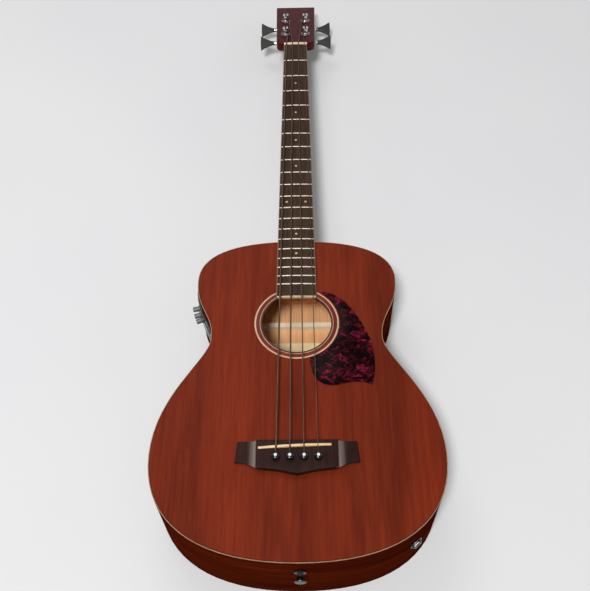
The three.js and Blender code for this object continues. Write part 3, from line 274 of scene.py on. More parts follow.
def shaped(mesh, *steps):
    """The mesh after modifiers, each given as (kind, settings)."""
    holder = in_scene("shaping", mesh)
    helpers = []
    for kind, settings in steps:
        modifier = holder.modifiers.new(kind, kind)
        for key, value in settings.items():
            if key == "object":
                value = in_scene("tool", value)
                helpers.append(value)
            setattr(modifier, key, value)
    result = plain_mesh(holder)
    for thing in [holder, *helpers]:
        bpy.data.objects.remove(thing)
    return result


def combined(mesh, operation, others):
    how = {"operation": operation, "solver": "EXACT"}
    return shaped(mesh, *[("BOOLEAN", {"object": other, **how}) for other in others])


def joined(mesh, *others):
    return combined(mesh, "UNION", others)


def cut(mesh, *tools):
    return combined(mesh, "DIFFERENCE", tools)


def common(mesh, other):
    return combined(mesh, "INTERSECT", [other])


def eased(mesh, width, segments=2, angle=35):
    """The mesh with its edges rounded over."""
    settings = {"width": width, "segments": segments, "angle_limit": math.radians(angle)}
    return shaped(mesh, ("BEVEL", {**settings, "limit_method": "ANGLE", "harden_normals": False}))


def together(*meshes):
    """Several closed shells in one mesh."""
    bm = bmesh.new()
    for mesh in meshes:
        bm.from_mesh(mesh)
    result = bpy.data.meshes.new("together")
    bm.to_mesh(result)
    bm.free()
    return result


def plate(loops, low, high, rounding=0.0):
    """A flat plate between two heights, from an outline and the outlines of its holes."""
    curve = bpy.data.curves.new("plate", "CURVE")
    curve.dimensions = "2D"
    curve.fill_mode = "BOTH"
    for loop in loops:
        spline = curve.splines.new("POLY")
        spline.points.add(len(loop) - 1)
        for point, (x, y) in zip(spline.points, loop):
            point.co = (x, y, 0, 1)
        spline.use_cyclic_u = True
    curve.extrude = (high - low) / 2 - rounding
    curve.bevel_depth = rounding
    curve.bevel_resolution = 2
    curve.offset = -rounding
    holder = in_scene("plate", curve)
    mesh = plain_mesh(holder)
    bpy.data.objects.remove(holder)
    bm = bmesh.new()
    bm.from_mesh(mesh)
    bmesh.ops.translate(bm, verts=bm.verts, vec=(0, 0, (low + high) / 2))
    return tidy(bm, "plate")


def circle(radius, steps=128, centre=(0.0, 0.0)):
    x, y = centre
    return [(x + radius * math.cos(a), y + radius * math.sin(a)) for a in round_angles(steps)]


def arc_point(start, middle, end, t):
    """A place a share t along a curve that leaves its start towards the middle point."""
    return start * (1 - t) ** 2 + middle * 2 * (1 - t) * t + end * t * t


def bezier_at(points, t):
    """The place and the direction a share t along a curve with four control points."""
    weights = ((1 - t) ** 3, 3 * (1 - t) ** 2 * t, 3 * (1 - t) * t**2, t**3)
    slopes = ((1 - t) ** 2, 2 * (1 - t) * t, t**2)
    place = sum((p * w for p, w in zip(points, weights)), Vector((0, 0)))
    slope = sum(((b - a) * w for a, b, w in zip(points, points[1:], slopes)), Vector((0, 0)))
    return place, slope.normalized()


def bezier(points, steps):
    """Places and directions along a curve, without its end."""
    return [bezier_at(points, k / steps) for k in range(steps)]


def show(name, mesh, finish, slot, body="guitar", replaces=(), place=None, smooth=30):
    """A finished piece: its mesh laid down, its finish and the body that carries it; its slot is not used."""
    if place is not None:
        mesh.transform(place)
    mesh.transform(lay_down)
    if (place or Matrix()).determinant() < 0:
        mesh.flip_normals()
    mesh.shade_smooth()
    mesh.set_sharp_from_angle(angle=math.radians(smooth))
    mesh.name = name
    mesh.materials.clear()
    mesh.materials.append(finish)
    thing = in_scene(name, mesh)
    if replaces:
        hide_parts(*replaces)
    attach(thing, body)
    return thing


# Geometry nodes that set out what repeats


def inner_node(tree, kind, inputs=None, **settings):
    """A node with its settings and its inputs, each a value or another node's output."""
    new = tree.nodes.new(kind)
    for key, value in settings.items():
        setattr(new, key, value)
    for key, value in (inputs or {}).items():
        if isinstance(value, bpy.types.NodeSocket):
            tree.links.new(value, new.inputs[key])
        else:
            new.inputs[key].default_value = value
    return new


def new_tree(name, **sockets):
    tree = bpy.data.node_groups.new(name, "GeometryNodeTree")
    for key, kind in sockets.items():
        tree.interface.new_socket(key, in_out="INPUT", socket_type="NodeSocket" + kind)
    tree.interface.new_socket("Geometry", in_out="OUTPUT", socket_type="NodeSocketGeometry")
    return tree, tree.nodes.new("NodeGroupInput").outputs


def finish_tree(tree, geometry, finish):
    painted = inner_node(tree, "GeometryNodeSetMaterial", {"Geometry": geometry, "Material": finish})
    inner_node(tree, "NodeGroupOutput", {"Geometry": painted.outputs[0]})


def placing_tree():
    """One piece set on every point, turned by the point's own turn."""
    tree, given = new_tree("set_out", Points="Geometry", Piece="Object", Finish="Material")
    piece = inner_node(tree, "GeometryNodeObjectInfo", {"Object": given["Piece"]})
    turn = inner_node(tree, "GeometryNodeInputNamedAttribute", {"Name": "turn"}, data_type="FLOAT_VECTOR")
    turned_by = inner_node(tree, "FunctionNodeEulerToRotation", {0: turn.outputs[0]})
    given_places = {"Points": given["Points"], "Rotation": turned_by.outputs[0]}
    copies = inner_node(
        tree, "GeometryNodeInstanceOnPoints", {**given_places, "Instance": piece.outputs["Geometry"]}
    )
    real = inner_node(tree, "GeometryNodeRealizeInstances", {"Geometry": copies.outputs[0]})
    finish_tree(tree, real.outputs[0], given["Finish"])
    return tree


def fret_tree():
    """Frets in equal-tempered places, as wide as the board and bent to its camber."""
    tree, given = new_tree(
        "fret_row",
        Wire="Object",
        Frets="Int",
        Scale_length="Float",
        Nut_width="Float",
        Widening="Float",
        Camber_radius="Float",
        Finish="Material",
    )

    def maths(operation, *values):
        return inner_node(tree, "ShaderNodeMath", dict(enumerate(values)), operation=operation).outputs[0]

    row = inner_node(tree, "GeometryNodeMeshLine", {"Count": given["Frets"], "Offset": (0, 0, 0)})
    number = maths("ADD", inner_node(tree, "GeometryNodeInputIndex").outputs[0], 1.0)
    left = maths("POWER", 2.0, maths("DIVIDE", number, -frets_per_octave))
    along = maths("MULTIPLY", maths("SUBTRACT", left, 1.0), given["Scale_length"])
    half = maths("MULTIPLY", maths("MULTIPLY_ADD", along, given["Widening"], given["Nut_width"]), 0.5)
    place = inner_node(tree, "ShaderNodeCombineXYZ", {"Y": along}).outputs[0]
    size = inner_node(tree, "ShaderNodeCombineXYZ", {"X": half, "Y": 1.0, "Z": 1.0}).outputs[0]
    wires = inner_node(tree, "GeometryNodeObjectInfo", {"Object": given["Wire"]})
    given_places = {"Points": row.outputs[0], "Scale": size}
    copies = inner_node(
        tree, "GeometryNodeInstanceOnPoints", {**given_places, "Instance": wires.outputs["Geometry"]}
    )
    shift = {0: copies.outputs[0], "Translation": place, "Local Space": False}
    moved = inner_node(tree, "GeometryNodeTranslateInstances", shift)
    real = inner_node(tree, "GeometryNodeRealizeInstances", {"Geometry": moved.outputs[0]})
    position = inner_node(tree, "GeometryNodeInputPosition").outputs[0]
    x = inner_node(tree, "ShaderNodeSeparateXYZ", {0: position}).outputs["X"]
    fall = maths("DIVIDE", maths("MULTIPLY", x, x), given["Camber_radius"])
    drop = inner_node(tree, "ShaderNodeCombineXYZ", {"Z": maths("MULTIPLY", fall, -0.5)}).outputs[0]
    bent = inner_node(tree, "GeometryNodeSetPosition", {"Geometry": real.outputs[0], "Offset": drop})
    finish_tree(tree, bent.outputs[0], given["Finish"])
    return tree


def grown(tree, mesh, **inputs):
    """What a tree makes of a mesh, as a plain mesh."""
    holder = bpy.data.objects.new("grown", mesh)
    modifier = holder.modifiers.new("grown", "NODES")
    modifier.node_group = tree
    for item in tree.interface.items_tree:
        if item.item_type == "SOCKET" and item.in_out == "INPUT" and item.name in inputs:
            modifier[item.identifier] = inputs[item.name]
    bpy.context.scene.collection.objects.link(holder)
    result = plain_mesh(holder)
    bpy.data.objects.remove(holder)
    return result


set_out_tree = placing_tree()
fret_row_tree = fret_tree()


def set_out(mesh, places, finish):
    """Copies of a mesh at places, each given as a point and three turns about the axes."""
    points = bpy.data.meshes.new("places")
    points.from_pydata([place for place, _ in places], [], [])
    turns = [angle for _, turn in places for angle in turn]
    points.attributes.new("turn", "FLOAT_VECTOR", "POINT").data.foreach_set("vector", turns)
    pattern = bpy.data.objects.new("pattern", mesh)
    result = grown(set_out_tree, points, Piece=pattern, Finish=finish)
    bpy.data.objects.remove(pattern)
    return result


# Finishes. Colours are given as seen, each part from 0 to 255.

wrap_pitch = 0.55  # of the thin wire round the strings


def shade(red, green, blue):
    """A colour as seen, each part from 0 to 255, in the form that shaders take."""
    parts = [c / 255 for c in (red, green, blue)]
    return (*(((c + 0.055) / 1.055) ** 2.4 if c > 0.04045 else c / 12.92 for c in parts), 1)


def darkened(colour, share):
    return (*(part * share for part in colour[:3]), 1)


class Finish:
    """A material with its node tree, and short ways to add nodes to it."""

    def __init__(self, name, **sockets):
        self.material = bpy.data.materials.new(name)
        self.material.use_nodes = True
        self.tree = self.material.node_tree
        self.shader = self.tree.nodes["Principled BSDF"]
        for key, value in sockets.items():
            self.shader.inputs[key.replace("_", " ")].default_value = value

    def add(self, kind, inputs=None, **settings):
        return inner_node(self.tree, "ShaderNode" + kind, inputs, **settings)

    def places(self, scale, source=None, turn=(0, 0, 0), shift=(0, 0, 0)):
        if source:
            start = self.add("Attribute", attribute_name=source).outputs["Vector"]
        else:
            start = self.add("TexCoord").outputs["Object"]
        inputs = {"Vector": start, "Scale": scale, "Rotation": turn, "Location": shift}
        return self.add("Mapping", inputs).outputs[0]

    def noise(self, places, detail=4.0, roughness=0.55, distortion=0.0):
        inputs = {"Vector": places, "Scale": 1.0, "Detail": detail, "Roughness": roughness}
        return self.add("TexNoise", {**inputs, "Distortion": distortion}).outputs[0]

    def steps(self, value, *stops):
        """Colours or plain shades laid along a value."""
        ramp = self.add("ValToRGB", {"Fac": value})
        marks = ramp.color_ramp.elements
        for i, (place, colour) in enumerate(stops):
            mark = marks[i] if i < 2 else marks.new(place)
            mark.position = place
            mark.color = colour if isinstance(colour, tuple) else (colour, colour, colour, 1)
        return ramp.outputs[0]

    def blend(self, amount, first, second, kind="MIX"):
        new = self.add("Mix", {0: amount, 6: first, 7: second}, data_type="RGBA", blend_type=kind)
        return new.outputs[2]

    def maths(self, operation, first, second=0.0):
        return self.add("Math", {0: first, 1: second}, operation=operation).outputs[0]

    def inner(self):
        """The value inner that the mesh keeps at each point."""
        return self.add("Attribute", attribute_name="inner").outputs["Fac"]

    def spread(self, value, low, high):
        return self.add("MapRange", {"Value": value, "To Min": low, "To Max": high}).outputs[0]

    def bump(self, height, strength, depth, normal=None):
        inputs = {"Height": height, "Strength": strength, "Distance": depth / 1000}
        if normal is not None:
            inputs["Normal"] = normal
        return self.add("Bump", inputs).outputs[0]

    def wire_up(self, colour=None, roughness=None, normal=None):
        for key, value in (("Base Color", colour), ("Roughness", roughness), ("Normal", normal)):
            if value is not None:
                self.tree.links.new(value, self.shader.inputs[key])
        return self.material


def wood(name, colours, roughness, shine=0.15, source=None, bare_and_highlight=None, figure=0.35, pores=0.5):
    """Wood with its grain along y: streaks, a slow figure, fine pores and uneven sheen.

    Its colours run from dark to light. Where the mesh's inner value is 1, the second pair of colours shows:
    bare wood, the headstock's face and the bridge's scooped steps, whose lighter colour is a painted
    highlight.
    """
    dark, middle, light = [shade(*colour) for colour in colours]
    look = Finish(name, Specular_IOR_Level=shine)
    streaks = look.noise(look.places((210, 6, 210), source), 6.0, 0.6, 0.4)
    figured = look.noise(look.places((21, 2.6, 21), source), 3.0, 0.5, 0.5)
    fine = look.noise(look.places((1500, 46, 1500), source), 2.0, 0.6)
    colour = look.steps(streaks, (0.22, dark), (0.5, middle), (0.8, light))
    slow = look.steps(figured, (0.3, 1 - figure), (0.5, 1.0), (0.7, 1.0 + figure * 0.6))
    colour = look.blend(1.0, colour, slow, "MULTIPLY")
    open_pores = look.steps(fine, (0.6, 0.0), (0.68, 1.0))
    colour = look.blend(look.maths("MULTIPLY", open_pores, pores), colour, dark)
    if bare_and_highlight:
        # On the bridge this second pair is a painted highlight.
        bare_and_highlight_tone = look.steps(streaks, (0.3, shade(*bare_and_highlight[0])), (0.7, shade(*bare_and_highlight[1])))
        colour = look.blend(look.inner(), colour, look.blend(0.4, bare_and_highlight_tone, slow, "MULTIPLY"))
    wear = look.noise(look.places((26, 26, 26), source), 5.0, 0.6)
    uneven = look.spread(look.maths("ADD", wear, look.maths("MULTIPLY", open_pores, 0.4)), 0.8, 1.25)
    normal = look.bump(streaks, 0.25, 0.12)
    normal = look.bump(open_pores, 0.3, -0.1, normal)
    return look.wire_up(colour, look.maths("MULTIPLY", uneven, roughness), normal)


def metal(name, colour, roughness, grain=(60, 60, 60)):
    """Plated metal with fine rubbing marks and a few dull places."""
    look = Finish(name, Metallic=1.0)
    rubbed = look.noise(look.places(tuple(40 * g for g in grain)), 4.0, 0.7)
    dull = look.noise(look.places(grain, shift=(3, 5, 1)), 5.0, 0.6)
    bright = shade(*colour)
    tone = look.steps(dull, (0.35, darkened(bright, 0.82)), (0.62, bright))
    sheen = look.spread(look.maths("ADD", rubbed, dull), roughness * 0.65, roughness * 1.7)
    return look.wire_up(tone, sheen, look.bump(rubbed, 0.12, 0.02))


def plastic(name, colour, wear_and_highlight, roughness, coat=0.0, scale=45, shine=0.5, dark_tone=None):
    """Moulded plastic with handling marks, and a dark tone where its inner value says so."""
    look = Finish(name, Coat_Weight=coat, Coat_Roughness=0.08, Specular_IOR_Level=shine)
    cloud = look.noise(look.places((scale,) * 3), 5.0, 0.6)
    fine = look.noise(look.places((scale * 30,) * 3), 3.0, 0.6)
    tone = look.steps(cloud, (0.35, shade(*colour)), (0.7, shade(*wear_and_highlight)))
    if dark_tone:
        tone = look.blend(look.inner(), tone, shade(*dark_tone))
    sheen = look.spread(cloud, roughness * 0.75, roughness * 1.35)
    return look.wire_up(tone, sheen, look.bump(fine, 0.15, 0.03))


def mottled_plastic():
    """Dark plastic sheet with short slanting flecks of crimson and pink."""
    look = Finish("pickguard_plastic", Specular_IOR_Level=0.05)
    slanted = look.places((95, 128, 95), turn=(0, 0, math.radians(-35)))
    flecks = look.noise(slanted, 6.0, 0.7, 1.2)
    cloud = look.noise(look.places((48, 48, 48), shift=(2, 7, 0)), 3.0, 0.5, 0.5)
    mixed = look.maths("ADD", look.maths("MULTIPLY", flecks, 0.75), look.maths("MULTIPLY", cloud, 0.25))
    tone = look.steps(
        mixed,
        (0.47, shade(9, 3, 5)),
        (0.52, shade(42, 6, 12)),
        (0.57, shade(88, 12, 31)),
        (0.66, shade(146, 37, 67)),
    )
    return look.wire_up(tone, look.spread(cloud, 0.2, 0.36), look.bump(flecks, 0.1, 0.05))


def wound_wire(name, colour, roughness):
    """Round-wound string: turns of thin wire across its length."""
    look = Finish(name, Metallic=1.0)
    run = look.add("Attribute", attribute_name="run").outputs["Fac"]
    turns = look.maths("SINE", look.maths("MULTIPLY", run, 2 * math.pi / wrap_pitch))
    age = look.noise(look.places((70, 12, 70)), 4.0, 0.6)
    bright = shade(*colour)
    tone = look.steps(age, (0.3, darkened(bright, 0.6)), (0.7, bright))
    # Darker in the grooves between the turns: painted shade.
    groove_shade = look.steps(turns, (0.0, 0.45), (0.5, 1.0))
    sheen = look.spread(age, roughness * 0.8, roughness * 1.4)
    return look.wire_up(look.blend(0.8, tone, groove_shade, "MULTIPLY"), sheen, look.bump(turns, 0.6, 0.12))


raw_mahogany = ((222, 158, 108), (246, 194, 142))
# The lighter pair for the bridge's scooped steps is a painted highlight.
painted_cove_highlight = ((108, 92, 86), (142, 127, 120))
head_red = ((48, 4, 8), (80, 11, 14))
top_wood = wood("mahogany", ((96, 28, 10), (111, 36, 14), (126, 46, 20)), 0.45, 0.09, bare_and_highlight=raw_mahogany)
back_wood = wood("dark_mahogany", ((46, 11, 6), (66, 18, 10), (88, 28, 15)), 0.45, 0.12, bare_and_highlight=raw_mahogany)
side_brown = ((50, 13, 4), (72, 21, 7), (96, 33, 12))
side_wood = wood("side_mahogany", side_brown, 0.55, 0.0, source="flow", bare_and_highlight=raw_mahogany)
neck_wood = wood("neck_mahogany", ((46, 12, 8), (66, 19, 12), (88, 30, 18)), 0.45, 0.12, bare_and_highlight=head_red)
block_brown = ((206, 140, 94), (222, 160, 110), (240, 186, 136))
block_wood = wood("block_mahogany", block_brown, 0.7, figure=0.2, pores=0.3)
brace_wood = wood("spruce", ((242, 218, 178), (250, 234, 202), (255, 243, 220)), 0.7, figure=0.12, pores=0.1)
dark_wood = wood("rosewood", ((40, 28, 21), (60, 45, 35), (80, 61, 47)), 0.5, 0.08, figure=0.3, pores=0.7)
bridge_brown = ((27, 11, 8), (42, 21, 17), (57, 33, 28))
bridge_wood = wood("bridge_rosewood", bridge_brown, 0.42, 0.12, bare_and_highlight=painted_cove_highlight, pores=0.6)
# The board's edges are lighter than the board: a painted highlight.
edge_highlight_wood = wood("board_edge", ((92, 70, 54), (120, 94, 74), (140, 114, 92)), 0.45, pores=0.3)
band_wood = wood("rosette_band", ((80, 20, 12), (112, 36, 22), (142, 62, 38)), 0.35, figure=0.2)
ring_black = plastic("rosette_black", (20, 12, 11), (34, 22, 20), 0.4)
cream = plastic("cream_plastic", (224, 196, 156), (240, 218, 182), 0.32)
binding_cream = plastic("binding_cream", (150, 112, 88), (176, 136, 108), 0.5, shine=0.0, dark_tone=(62, 18, 8))
pearl = plastic("pearl", (226, 224, 220), (240, 238, 234), 0.25)
bone = plastic("bone", (222, 180, 126), (238, 204, 154), 0.35, 0.0, 80)
ring_cream = plastic("ring_cream", (196, 150, 116), (216, 174, 140), 0.35)
black = plastic("black_plastic", (14, 14, 15), (26, 25, 26), 0.3, 0.3)
gloss_black = plastic("pin_black", (4, 4, 5), (9, 9, 10), 0.16)
grey = plastic("grey_plastic", (130, 132, 134), (152, 153, 154), 0.45)
guard = mottled_plastic()
chrome = metal("chrome", (206, 212, 212), 0.14)
fret_metal = metal("fret_metal", (208, 196, 178), 0.3, (60, 8, 60))
key_metal = metal("key_metal", (66, 66, 63), 0.38)
plate_metal = metal("plate_metal", (164, 166, 168), 0.24)
dark_chrome = metal("dark_chrome", (84, 84, 86), 0.16)
knob_metal = metal("knob_metal", (120, 122, 124), 0.34)
wound = wound_wire("bronze_wire", (128, 104, 84), 0.4)
paper = plastic("paper", (250, 222, 164), (255, 234, 184), 0.85, 0.0, 30)

# Outline of the body

corners = [
    Vector((0, neck_end)),
    Vector((upper_half, neck_end - upper_setback)),
    Vector((waist_half, neck_end - waist_setback)),
    Vector((lower_half, neck_end - lower_setback)),
    Vector((0, tail_end)),
]
# For each curve: how far it runs straight on at its start and end, and whether it runs across there.
bends = [
    (0.7, 0.63, True, False),
    (0.515, 0.42, False, False),
    (0.19, 0.5, False, False),
    (0.61, 0.68, False, True),
]
bout_steps = (16, 14, 16, 18)


def bout(i):
    start, end = corners[i], corners[i + 1]
    leave, arrive, across, across_at_end = bends[i]
    step = end - start
    first = Vector((step.x * leave, 0)) if across else Vector((0, step.y * leave))
    last = Vector((step.x * arrive, 0)) if across_at_end else Vector((0, step.y * arrive))
    return start, start + first, end - last, end


class RimPlace:
    """A place on the outline with the direction out of the body there."""

    def __init__(self, place, slope, side=1):
        self.x, self.y = place.x * side, place.y
        self.out = Vector((-slope.y * side, slope.x))

    def at(self, depth, height):
        return (self.x - self.out.x * depth, self.y - self.out.y * depth, height)


def rim_places(side):
    places = []
    for i, count in enumerate(bout_steps):
        places += [RimPlace(place, slope, side) for place, slope in bezier(bout(i), count)]
    return [*places, RimPlace(corners[4], Vector((-1, 0)), side)]


def bout_place(i, share, side=1):
    """A place at a share of one curve of the outline, to the nearest thousandth."""
    return RimPlace(*bezier_at(bout(i), round(share * 1000) / 1000), side=side)


def flank_place(share):
    """A place on the bass side between the upper bout and the waist."""
    return bout_place(1, share, -1)


treble_rim, bass_rim = rim_places(1), rim_places(-1)
whole_rim = treble_rim + bass_rim[1:-1][::-1]
rim_run = [0.0]
for here, there in zip(treble_rim, treble_rim[1:]):
    rim_run.append(rim_run[-1] + math.hypot(here.x - there.x, here.y - there.y))


def mark(mesh, name, kind, rule):
    """Keeps a value of the rule, such as which side of the wood shows, at each point of the mesh."""
    values = [rule(point.co) for point in mesh.vertices]
    layer = mesh.attributes.new(name, kind, "POINT").data
    if kind == "FLOAT":
        layer.foreach_set("value", values)
    else:
        layer.foreach_set("vector", [part for value in values for part in value])
    return mesh


def rim_strip(places, section, endless=False):
    """A strip along the rim. Each corner of its section is a depth into the body and a height rule."""
    rings = []
    for place in places:
        ring = []
        for depth, height in section:
            x, y, _ = place.at(depth, 0)
            ring.append((x, y, height(x, y) if callable(height) else height))
        rings.append(ring)
    return skin(rings, endless)


def outline(depth):
    return [place.at(depth, 0)[:2] for place in whole_rim]


def disc(radius, low, high, steps=128):
    return plate([circle(radius, steps, (0, soundhole_y))], low, high)


def soundhole_ring(outer, inner, low, high, steps=160):
    """A flat ring round the middle of the soundhole."""
    return plate([circle(radius, steps, (0, soundhole_y)) for radius in (outer, inner)], low, high)


# Sides, top, back and bindings

back_rise = back_arch * 0.93  # the solids' back is flat along its middle
binding_gap = 0.1
wall_overrun = 12
overrun = 10
hole_edge_radius, hole_edge_floor = 51.2, -0.9
inlay_gap = 0.1
hole_edge_seat = hole_edge_radius + inlay_gap
rosette_start, rosette_floor = 52.4, -1.2
rosette_rings = [
    ("rosette", 0.8, ring_cream, "cream_plastic"),
    ("rosette_inner_line", 0.8, ring_black, "black_plastic"),
    ("rosette_band", 3.9, band_wood, "mahogany"),
    ("rosette_outer_line", 0.7, ring_black, "black_plastic"),
    ("rosette_rim", 2.3, ring_cream, "cream_plastic"),
]
groove_inner, groove_outer = rosette_start - inlay_gap, 61.1
groove_floor = rosette_floor - inlay_gap
label_ends, label_half = (-652.0, -592.0), 45
label_lift, label_thickness = 0.35, 0.2


def back_face(x, y):
    return -depth_at_neck - (neck_end - y) * taper - back_rise * (1 - (x / lower_half) ** 2)


def nearest_on(rim, spot):
    return min(range(len(rim)), key=lambda i: (rim[i].x - spot.x) ** 2 + (rim[i].y - spot.y) ** 2)


def grain_flow(rim, side):
    """A rule for where a point of a side lies in its bent grain, in metres: up, and along the rim."""

    def rule(spot):
        nearest = nearest_on(rim, spot)
        place = rim[nearest]
        ahead = Vector((-place.out.y, place.out.x)) * side
        past = Vector((spot.x - place.x, spot.y - place.y)).dot(ahead)
        return (spot.z / 1000 + side, (past - rim_run[nearest]) / 1000, 0)

    return rule


def inner_wall(rim):
    """A rule that is 1 on the inner face of a side, which has no stain."""

    def rule(spot):
        place = rim[nearest_on(rim, spot)]
        depth = Vector((place.x - spot.x, place.y - spot.y)).dot(place.out)
        return float(depth > side_thickness / 2)

    return rule


def make_sides():
    def under(x, y):
        return back_face(x, y) + binding_height + binding_gap

    top_edge = -binding_height - binding_gap
    section = [(0, top_edge), (0, under), (side_thickness, under), (side_thickness, top_edge)]
    long, high = span(case_half_length + run_gap), span(case_half + run_gap)
    for name, rim, side in (("treble_side", treble_rim, 1), ("bass_side", bass_rim, -1)):
        wall = rim_strip(rim, section)
        if name == "bass_side":
            wall = cut(wall, rim_block(flank_place(case_share), long, span(wall_overrun), high))
        mark(wall, "flow", "FLOAT_VECTOR", grain_flow(rim, side))
        mark(wall, "inner", "FLOAT", inner_wall(rim))
        show(name, wall, side_wood, "dark_mahogany", replaces=[name])


def make_top():
    board = plate([outline(binding_width + binding_gap)], -top_thickness, 0)
    board = cut(board, disc(soundhole_radius, -overrun, overrun))
    board = cut(board, soundhole_ring(groove_outer, groove_inner, groove_floor, 1, 128))
    board = cut(board, disc(hole_edge_seat, hole_edge_floor - inlay_gap, 1, 160))

    def unstained(spot):
        from_hole = math.hypot(spot.x, spot.y - soundhole_y) - soundhole_radius
        return float(spot.z < 0.3 - top_thickness and from_hole > 1)

    mark(board, "inner", "FLOAT", unstained)
    show("soundboard", board, top_wood, "mahogany", replaces=["soundboard"])


def make_back():
    """The back, arched across and let in between the bindings."""
    rings = []
    for place in treble_rim:
        half, y, _ = place.at(binding_width + binding_gap, 0)
        lower = [(half * k / 5, y, back_face(half * k / 5, y)) for k in range(-5, 6)]
        upper = [(x, y, z + back_thickness) for x, y, z in reversed(lower)]
        rings.append(lower + upper)
    back = skin(rings)
    mark(back, "inner", "FLOAT", lambda spot: float(spot.z > back_face(spot.x, spot.y) + back_thickness / 2))
    show("back_plate", back, back_wood, "dark_mahogany", replaces=["back_plate"])


def make_bindings():
    """Strips along both rims, pale only along their outer corners."""
    ease = 0.5
    bevel = 0.3 * ease
    pale_line, back_pale_line, fade = 1.2, 0.4, 0.1
    wide, tall = binding_width, binding_height
    upper = [(0, -ease), (0, -tall), (wide, -tall), (wide, 0)]
    upper += [(pale_line + fade, 0), (pale_line, 0), (ease, 0), (bevel, -bevel)]
    dark_corners = (1, 1, 1, 1, 1, 0, 0, 0)
    mesh = rim_strip(whole_rim, upper, True)
    stains = iter(dark_corners * len(whole_rim))
    mark(mesh, "inner", "FLOAT", lambda _: float(next(stains)))
    show("top_binding", mesh, binding_cream, "cream_plastic", replaces=["top_binding"])

    def above_back(lift):
        return lambda x, y: back_face(x, y) + lift

    lower = [(0, ease), (0, tall), (wide, tall), (wide, 0), (ease, 0), (bevel, bevel)]
    mesh = rim_strip(whole_rim, [(depth, above_back(lift)) for depth, lift in lower], True)
    mark(mesh, "inner", "FLOAT", lambda spot: float(spot.z > back_face(spot.x, spot.y) + back_pale_line))
    show("back_binding", mesh, binding_cream, "cream_plastic", replaces=["back_binding"])


def make_rosette():
    inner = rosette_start
    for name, width, finish, slot in rosette_rings:
        ring = soundhole_ring(inner + width, inner, rosette_floor, 0)
        show(name, ring, finish, slot, replaces=["rosette"] if name == "rosette" else [])
        inner += width
    # The black ring round the hole's edge is a painted shadow for the hole's inner wall in shade.
    edge = soundhole_ring(hole_edge_radius, soundhole_radius, hole_edge_floor, 0)
    show("soundhole_edge", edge, ring_black, "black_plastic")


def make_label():
    """A blank paper label glued to the back, under the soundhole."""
    rings = []
    for y in label_ends:
        across = [label_half * k / 5 for k in range(-5, 6)]
        top = [(x, y, back_face(x, y) + back_thickness + label_lift) for x in across]
        under = [(x, y, z - label_thickness) for x, y, z in reversed(top)]
        rings.append(top + under)
    show("label", skin(rings), paper, "cream_plastic")


# Preamp, at places on the bass side

panel_height, panel_half, panel_thickness = -40.0, 22.0, 2.0
panel_face = glue_gap + panel_thickness
panel_shares = (0.03, 0.86)
panel_screw_shares, panel_screw_inset = (0.055, 0.83), 4
screw_sink = 0.02
panel_overrun, case_overrun, case_stands_out = 8, 6, 1.2
case_share, case_half_length, case_half, case_depth = 0.44, 35.0, 17.0, 56.0
knob_shares, knob_offset = (0.19, 0.295, 0.39), 4.0
knob_shaft_length, knob_shaft_radius = 5, 1.6
knob_steps, flute_count, flute_depth, flute_floor = 108, 18, 0.16, 3.4
tray_share, tray_half_length, tray_half, tray_depth, tray_lip = 0.62, 13.5, 9.0, 50.0, 1.2
pull_half_length, pull_low, pull_high, pull_depth = 7, -7.2, -4.6, 0.4
button_share, button_drop = 0.16, 11.0
button_half_length, button_half = 3.5, 2.2
button_length_inside, button_rise, button_well = 3, 1.6, 4.6


def rim_block(place, along, out, up):
    """A block at the preamp's height, given along the rim, out of it and upwards."""
    turn = Matrix.Rotation(math.atan2(place.out.y, place.out.x) - math.pi / 2, 4, "Z")
    mesh = block(*along, *out, *up)
    mesh.transform(Matrix.Translation((place.x, place.y, panel_height)) @ turn)
    return mesh


def out_of_side(place, height):
    """Stands a turned piece on the rim, its axis out of the body."""
    turn = turn_to((*place.out, 0)).to_matrix().to_4x4()
    return Matrix.Translation((place.x, place.y, height)) @ turn


def make_preamp_case():
    """A curved panel on the side with the case behind it, and room for the tray, button and knobs."""
    start, end = panel_shares
    places = [flank_place(start + (end - start) * i / 24) for i in range(25)]
    low, high, ease = panel_height - panel_half, panel_height + panel_half, 0.7
    section = [(-glue_gap, low), (-panel_face + ease, low), (-panel_face, low + ease)]
    section += [(-panel_face, high - ease), (-panel_face + ease, high), (-glue_gap, high)]
    panel = rim_strip(places, section)
    case_out = (-case_depth, case_overrun)
    case = rim_block(flank_place(case_share), span(case_half_length), case_out, span(case_half))
    inside = plate([outline(-case_stands_out)], -depth_at_neck - overrun, 0)
    tray_hole = rim_block(
        flank_place(tray_share),
        span(tray_half_length + run_gap),
        (-tray_depth - run_gap, panel_overrun),
        span(tray_half + run_gap),
    )
    button_hole = rim_block(
        flank_place(button_share),
        span(button_half_length + run_gap),
        (panel_face - button_well, panel_overrun),
        span(button_half + run_gap, -button_drop),
    )
    holes = [tray_hole, button_hole]
    for share in knob_shares:
        place = flank_place(share)
        height = panel_height + knob_offset
        inner_end = place.at(-panel_face + knob_shaft_length + run_gap, height)
        holes.append(bar(inner_end, place.at(-panel_overrun, height), knob_shaft_radius + run_gap))
    whole = cut(joined(panel, common(case, inside)), *holes)
    show("preamp_case", whole, black, "black_plastic", replaces=["preamp_case"])


def make_battery_tray():
    """The tray with a finger pull cut into its face."""
    place = flank_place(tray_share)
    face = panel_face + tray_lip
    tray = rim_block(place, span(tray_half_length), (-tray_depth, face), span(tray_half))
    pull_out = (panel_face - pull_depth, face + overrun)
    pull = rim_block(place, span(pull_half_length), pull_out, (pull_low, pull_high))
    tray = cut(eased(tray, 0.6), pull)
    show("battery_tray", tray, black, "black_plastic", "tray", replaces=["battery_tray"])


